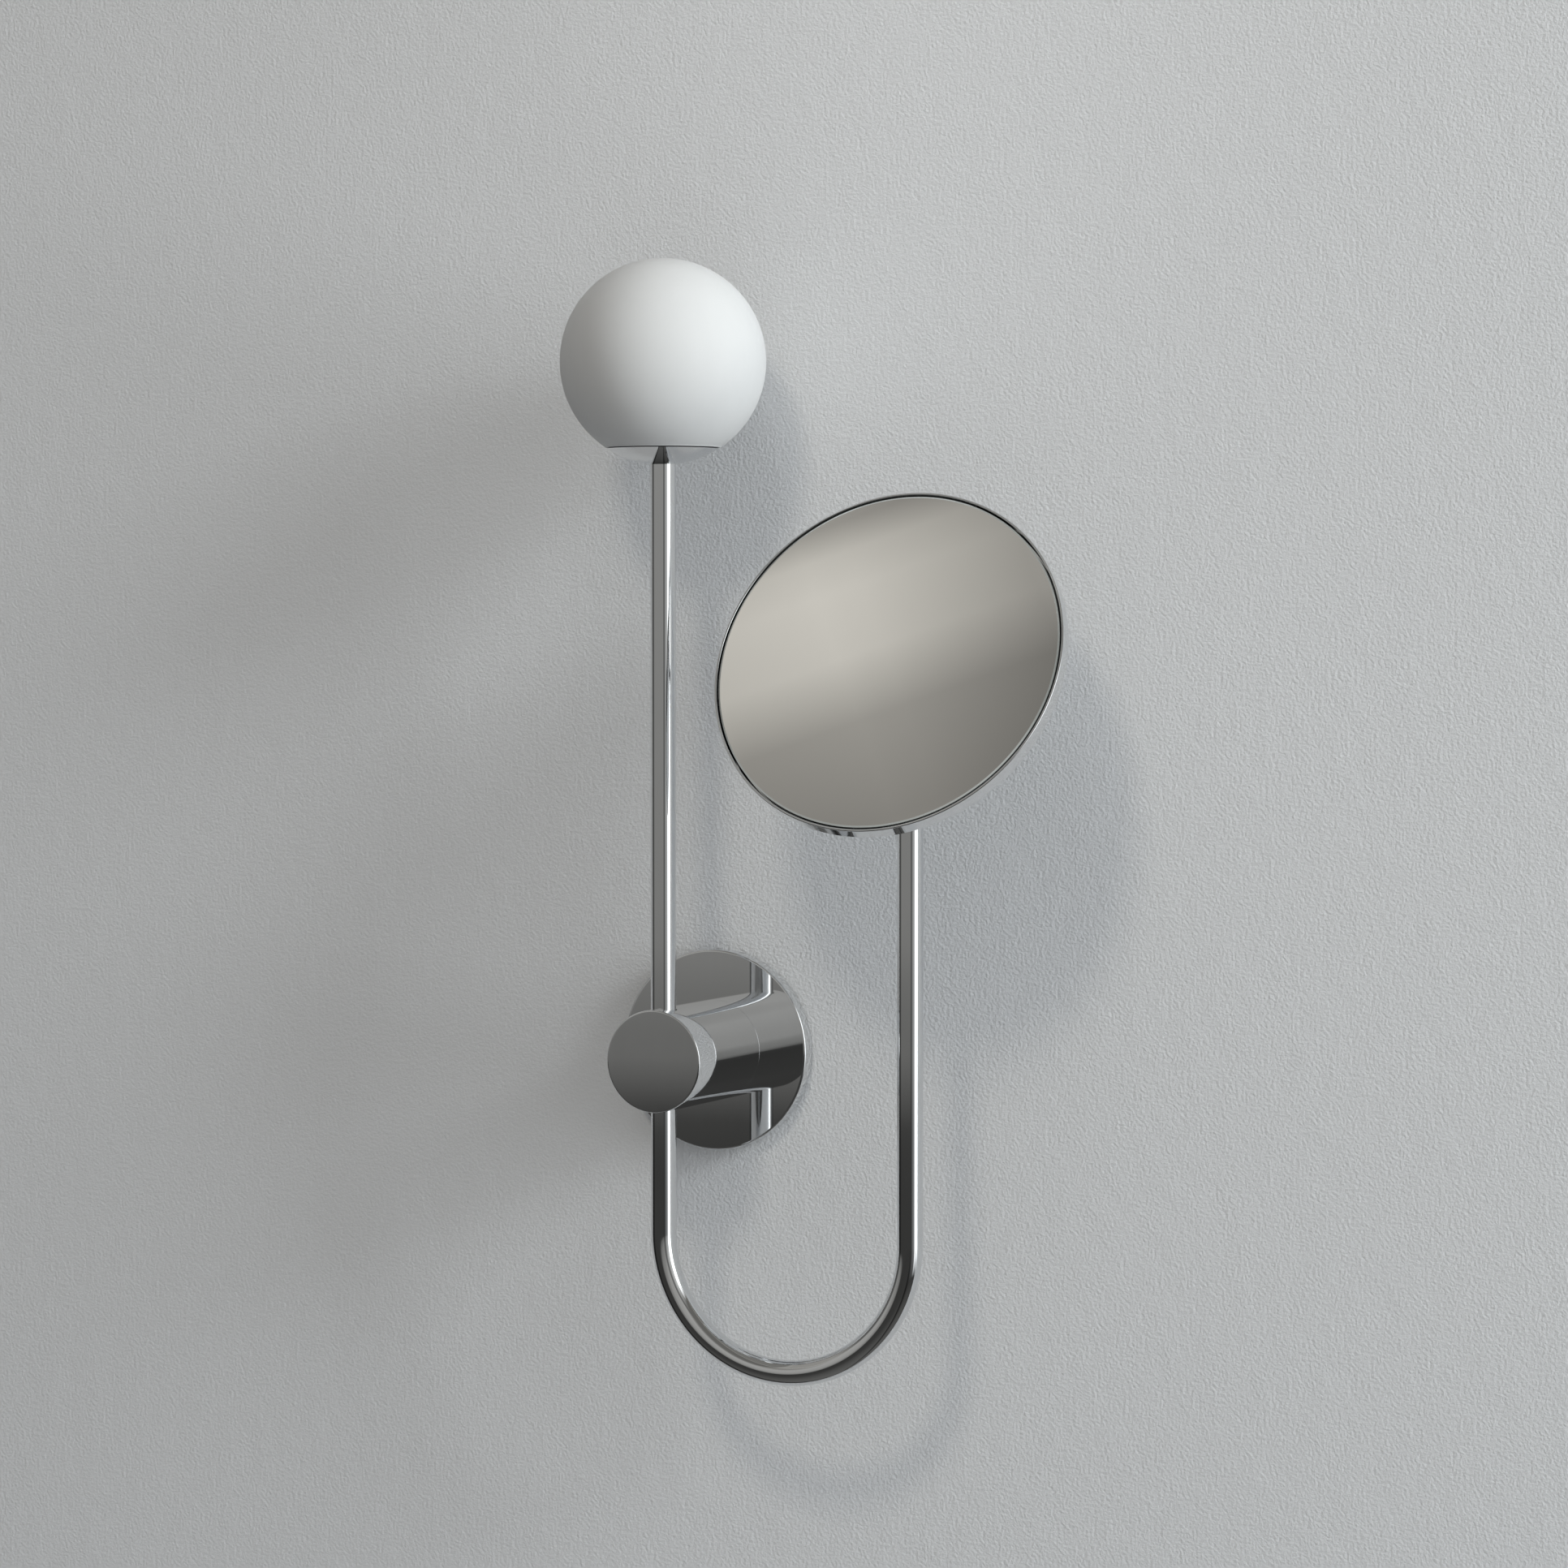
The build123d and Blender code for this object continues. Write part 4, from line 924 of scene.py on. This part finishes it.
def along_axis(tree, way, axis, first, last, stops, tint=(1.0, 1.0, 1.0)):
    """Tones between two heights of the looked-at direction along an axis."""
    height = node(tree, "VectorMath", [(0, way), (1, axis)], operation="DOT_PRODUCT")
    place = node(tree, "MapRange", [("Value", height.outputs["Value"]), ("From Min", first),
                                    ("From Max", last)])
    ramp = node(tree, "ValToRGB", [(0, place.outputs[0])])
    set_ramp(ramp, stops, tint)
    return ramp.outputs[0]


def product(tree, first, second, operation="MULTIPLY"):
    return node(tree, "VectorMath", [(0, first), (1, second)], operation=operation).outputs[0]


def room_light():
    """Even fill for the paint, and for polished metal a dark room with a paler wall and ceiling."""
    world = bpy.data.worlds.new("dim_room")
    bpy.context.scene.world = world
    world.use_nodes = True
    tree = world.node_tree
    way = node(tree, "TexCoord").outputs["Generated"]
    split = node(tree, "SeparateXYZ", [(0, way)])
    height = node(tree, "MapRange", [("Value", split.outputs["Z"]), ("From Min", -1.0),
                                     ("From Max", 1.0)])
    walls = node(tree, "ValToRGB", [(0, height.outputs[0])])
    set_ramp(walls, [(0.0, 0.12), (0.30, 0.045), (0.42, 0.04), (0.444, 0.045), (0.4467, 0.06),
                     (0.4492, 0.105), (0.4526, 0.155), (0.4603, 0.165), (0.4619, 0.2),
                     (0.466, 0.22), (0.51, 0.27), (0.54, 0.34), (0.62, 0.36), (0.7, 0.40),
                     (1.0, 0.3)], (1.0, 0.99, 0.95))
    front = node(tree, "Math", [(0, split.outputs["Y"]), (1, -1.0)], operation="MULTIPLY")
    round_room = node(tree, "Math", [(0, split.outputs["X"]), (1, front.outputs[0])],
                      operation="ARCTAN2")
    turn = node(tree, "MapRange", [("Value", round_room.outputs[0]), ("From Min", -pi),
                                   ("From Max", pi)])
    doorways = node(tree, "ValToRGB", [(0, turn.outputs[0])])
    set_ramp(doorways, [(0.0, 1.0), (0.2, 1.0), (0.25, 0.3), (0.305, 0.3), (0.325, 1.0), (0.572, 1.0),
                        (0.580, 0.3), (0.602, 0.3), (0.612, 0.7), (0.647, 1.0), (1.0, 1.0)])
    window = node(tree, "ValToRGB", [(0, turn.outputs[0])])
    set_ramp(window, [(0.0, 0.0), (0.57, 0.0), (0.608, 0.06), (0.647, 0.2), (0.672, 0.25),
                      (0.686, 2.2), (0.712, 2.2), (0.716, 0.25), (0.722, 0.25), (0.726, 2.2),
                      (0.755, 1.8), (0.77, 0.2), (1.0, 0.0)], (0.96, 0.99, 1.0))
    above_floor = node(tree, "MapRange", [("Value", split.outputs["Z"]), ("From Min", -0.4),
                                          ("From Max", -0.1)])
    lit = product(tree, walls.outputs[0], doorways.outputs[0])
    pane = product(tree, window.outputs[0], above_floor.outputs[0])
    level_view = product(tree, lit, pane, "ADD")
    across_ceiling, along_ceiling = (0.865, 0.026, 0.5), (-0.314, 0.807, 0.5)
    slope = along_axis(tree, way, across_ceiling, -0.035, 0.035,
                       [(0.0, 0.32), (0.36, 0.365), (0.5, 0.345), (1.0, 0.2)], (1.21, 1.18, 1.1))
    patch = along_axis(tree, way, along_ceiling, -0.031, 0.031,
                       [(0.0, 0.6), (0.34, 0.8), (0.56, 1.4), (0.78, 1.5), (0.9, 1.35), (1.0, 0.8)])
    ceiling = product(tree, slope, patch)
    upward = node(tree, "MapRange", [("Value", split.outputs["Z"]), ("From Min", 0.4),
                                     ("From Max", 0.6)])
    seen = node(tree, "Mix", [("Factor", upward.outputs[0])], data_type="RGBA")
    tree.links.new(level_view, seen.inputs[6])
    tree.links.new(ceiling, seen.inputs[7])
    fill = node(tree, "ValToRGB", [(0, height.outputs[0])])
    set_ramp(fill, [(0.0, 0.05), (0.5, 0.28), (1.0, 0.58)], (1.0, 1.0, 1.01))
    sideways = along_axis(tree, way, tuple(X), -1.0, 1.0, [(0.0, 0.4), (0.5, 1.0), (1.0, 1.6)])
    fill_light = product(tree, fill.outputs[0], sideways)
    ray = node(tree, "LightPath")
    light = node(tree, "Mix", [("Factor", ray.outputs["Is Diffuse Ray"])], data_type="RGBA")
    tree.links.new(seen.outputs[2], light.inputs[6])
    tree.links.new(fill_light, light.inputs[7])
    tree.links.new(light.outputs[2], tree.nodes["Background"].inputs["Color"])


class WALLLIGHT_OT_stage(bpy.types.Operator):
    """Pale wall and floor, soft lamps, the dim room round them and the camera"""

    bl_idname = "wall_light.stage"
    bl_label = "Stage"

    def execute(self, context):
        studio = context.scene.wall_light_studio
        wall_of_stage(plaster("painted_plaster", tuple(finish().wall), True))
        floor_of_stage(plaster("pale_floor", (0.55, 0.55, 0.55, 1), False))
        centre = Vector((0.06, -0.05, 0.13))
        softbox("key_lamp", centre, radians(3), radians(41), 2.5, 0.4, 0.4, studio.key_power,
                (1.0, 0.92, 0.78))
        softbox("side_lamp_high", centre, radians(74), radians(27), 3.4, 0.75, 0.9,
                0.4 * studio.side_power, (0.94, 0.985, 1.0))
        softbox("side_lamp_low", centre, radians(80), radians(8), 3.4, 1.1, 2.0,
                0.6 * studio.side_power, (0.93, 0.98, 1.0))
        beside_globe, glow_power = Vector((0.085, 0, 0.43)), 0.06
        glow = softbox("glow_lamp", beside_globe, radians(12), radians(50), 0.9, 0.2, 0.2, glow_power,
                       (1.0, 1.0, 1.0))
        glow.data.spread = radians(40)
        room_light()
        look_at = Vector((57.05, -50.0, 134.64)) * MM
        way = Vector((sin(studio.azimuth) * cos(studio.elevation),
                      -cos(studio.azimuth) * cos(studio.elevation), sin(studio.elevation)))
        camera = bpy.data.objects.new("camera", bpy.data.cameras.new("camera"))
        context.scene.collection.objects.link(camera)
        camera.data.lens = studio.lens
        camera.data.sensor_width = 36
        camera.location = look_at + way * studio.distance
        camera.rotation_euler = way.to_track_quat("Z", "Y").to_euler()
        context.scene.camera = camera
        context.scene.view_settings.view_transform = "Standard"
        return {"FINISHED"}


class VIEW3D_PT_wall_light(bpy.types.Panel):
    """Buttons for every piece of the wall light"""

    bl_label = "Wall light with mirror"
    bl_space_type = "VIEW_3D"
    bl_region_type = "UI"
    bl_category = "Wall Light"

    def draw(self, context):
        for settings in (context.scene.wall_light_sizes, context.scene.wall_light_finish,
                         context.scene.wall_light_studio):
            box = self.layout.box()
            for key in settings.__annotations__:
                box.prop(settings, key)
        for operator in OPERATORS:
            self.layout.operator(operator.bl_idname)


OPERATORS = (
    WALLLIGHT_OT_inner_parts, WALLLIGHT_OT_globe, WALLLIGHT_OT_cup, WALLLIGHT_OT_arm_tube,
    WALLLIGHT_OT_boss, WALLLIGHT_OT_wall_plate, WALLLIGHT_OT_mirror_housing,
    WALLLIGHT_OT_mirror_glass, WALLLIGHT_OT_mirror_hub, WALLLIGHT_OT_knuckle,
    WALLLIGHT_OT_tilt_fasteners, WALLLIGHT_OT_hub_screws, WALLLIGHT_OT_stage,
)
SETTINGS = (WallLightSizes, WallLightFinish, WallLightStudio)


def register():
    for made in SETTINGS + OPERATORS + (VIEW3D_PT_wall_light,):
        bpy.utils.register_class(made)
    bpy.types.Scene.wall_light_sizes = PointerProperty(type=WallLightSizes)
    bpy.types.Scene.wall_light_finish = PointerProperty(type=WallLightFinish)
    bpy.types.Scene.wall_light_studio = PointerProperty(type=WallLightStudio)


def unregister():
    del bpy.types.Scene.wall_light_studio
    del bpy.types.Scene.wall_light_finish
    del bpy.types.Scene.wall_light_sizes
    for made in reversed(SETTINGS + OPERATORS + (VIEW3D_PT_wall_light,)):
        bpy.utils.unregister_class(made)


def main():
    register()
    for operator in OPERATORS:
        family, name = operator.bl_idname.split(".")
        getattr(getattr(bpy.ops, family), name)()
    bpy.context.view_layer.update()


if __name__ == "__main__":
    main()
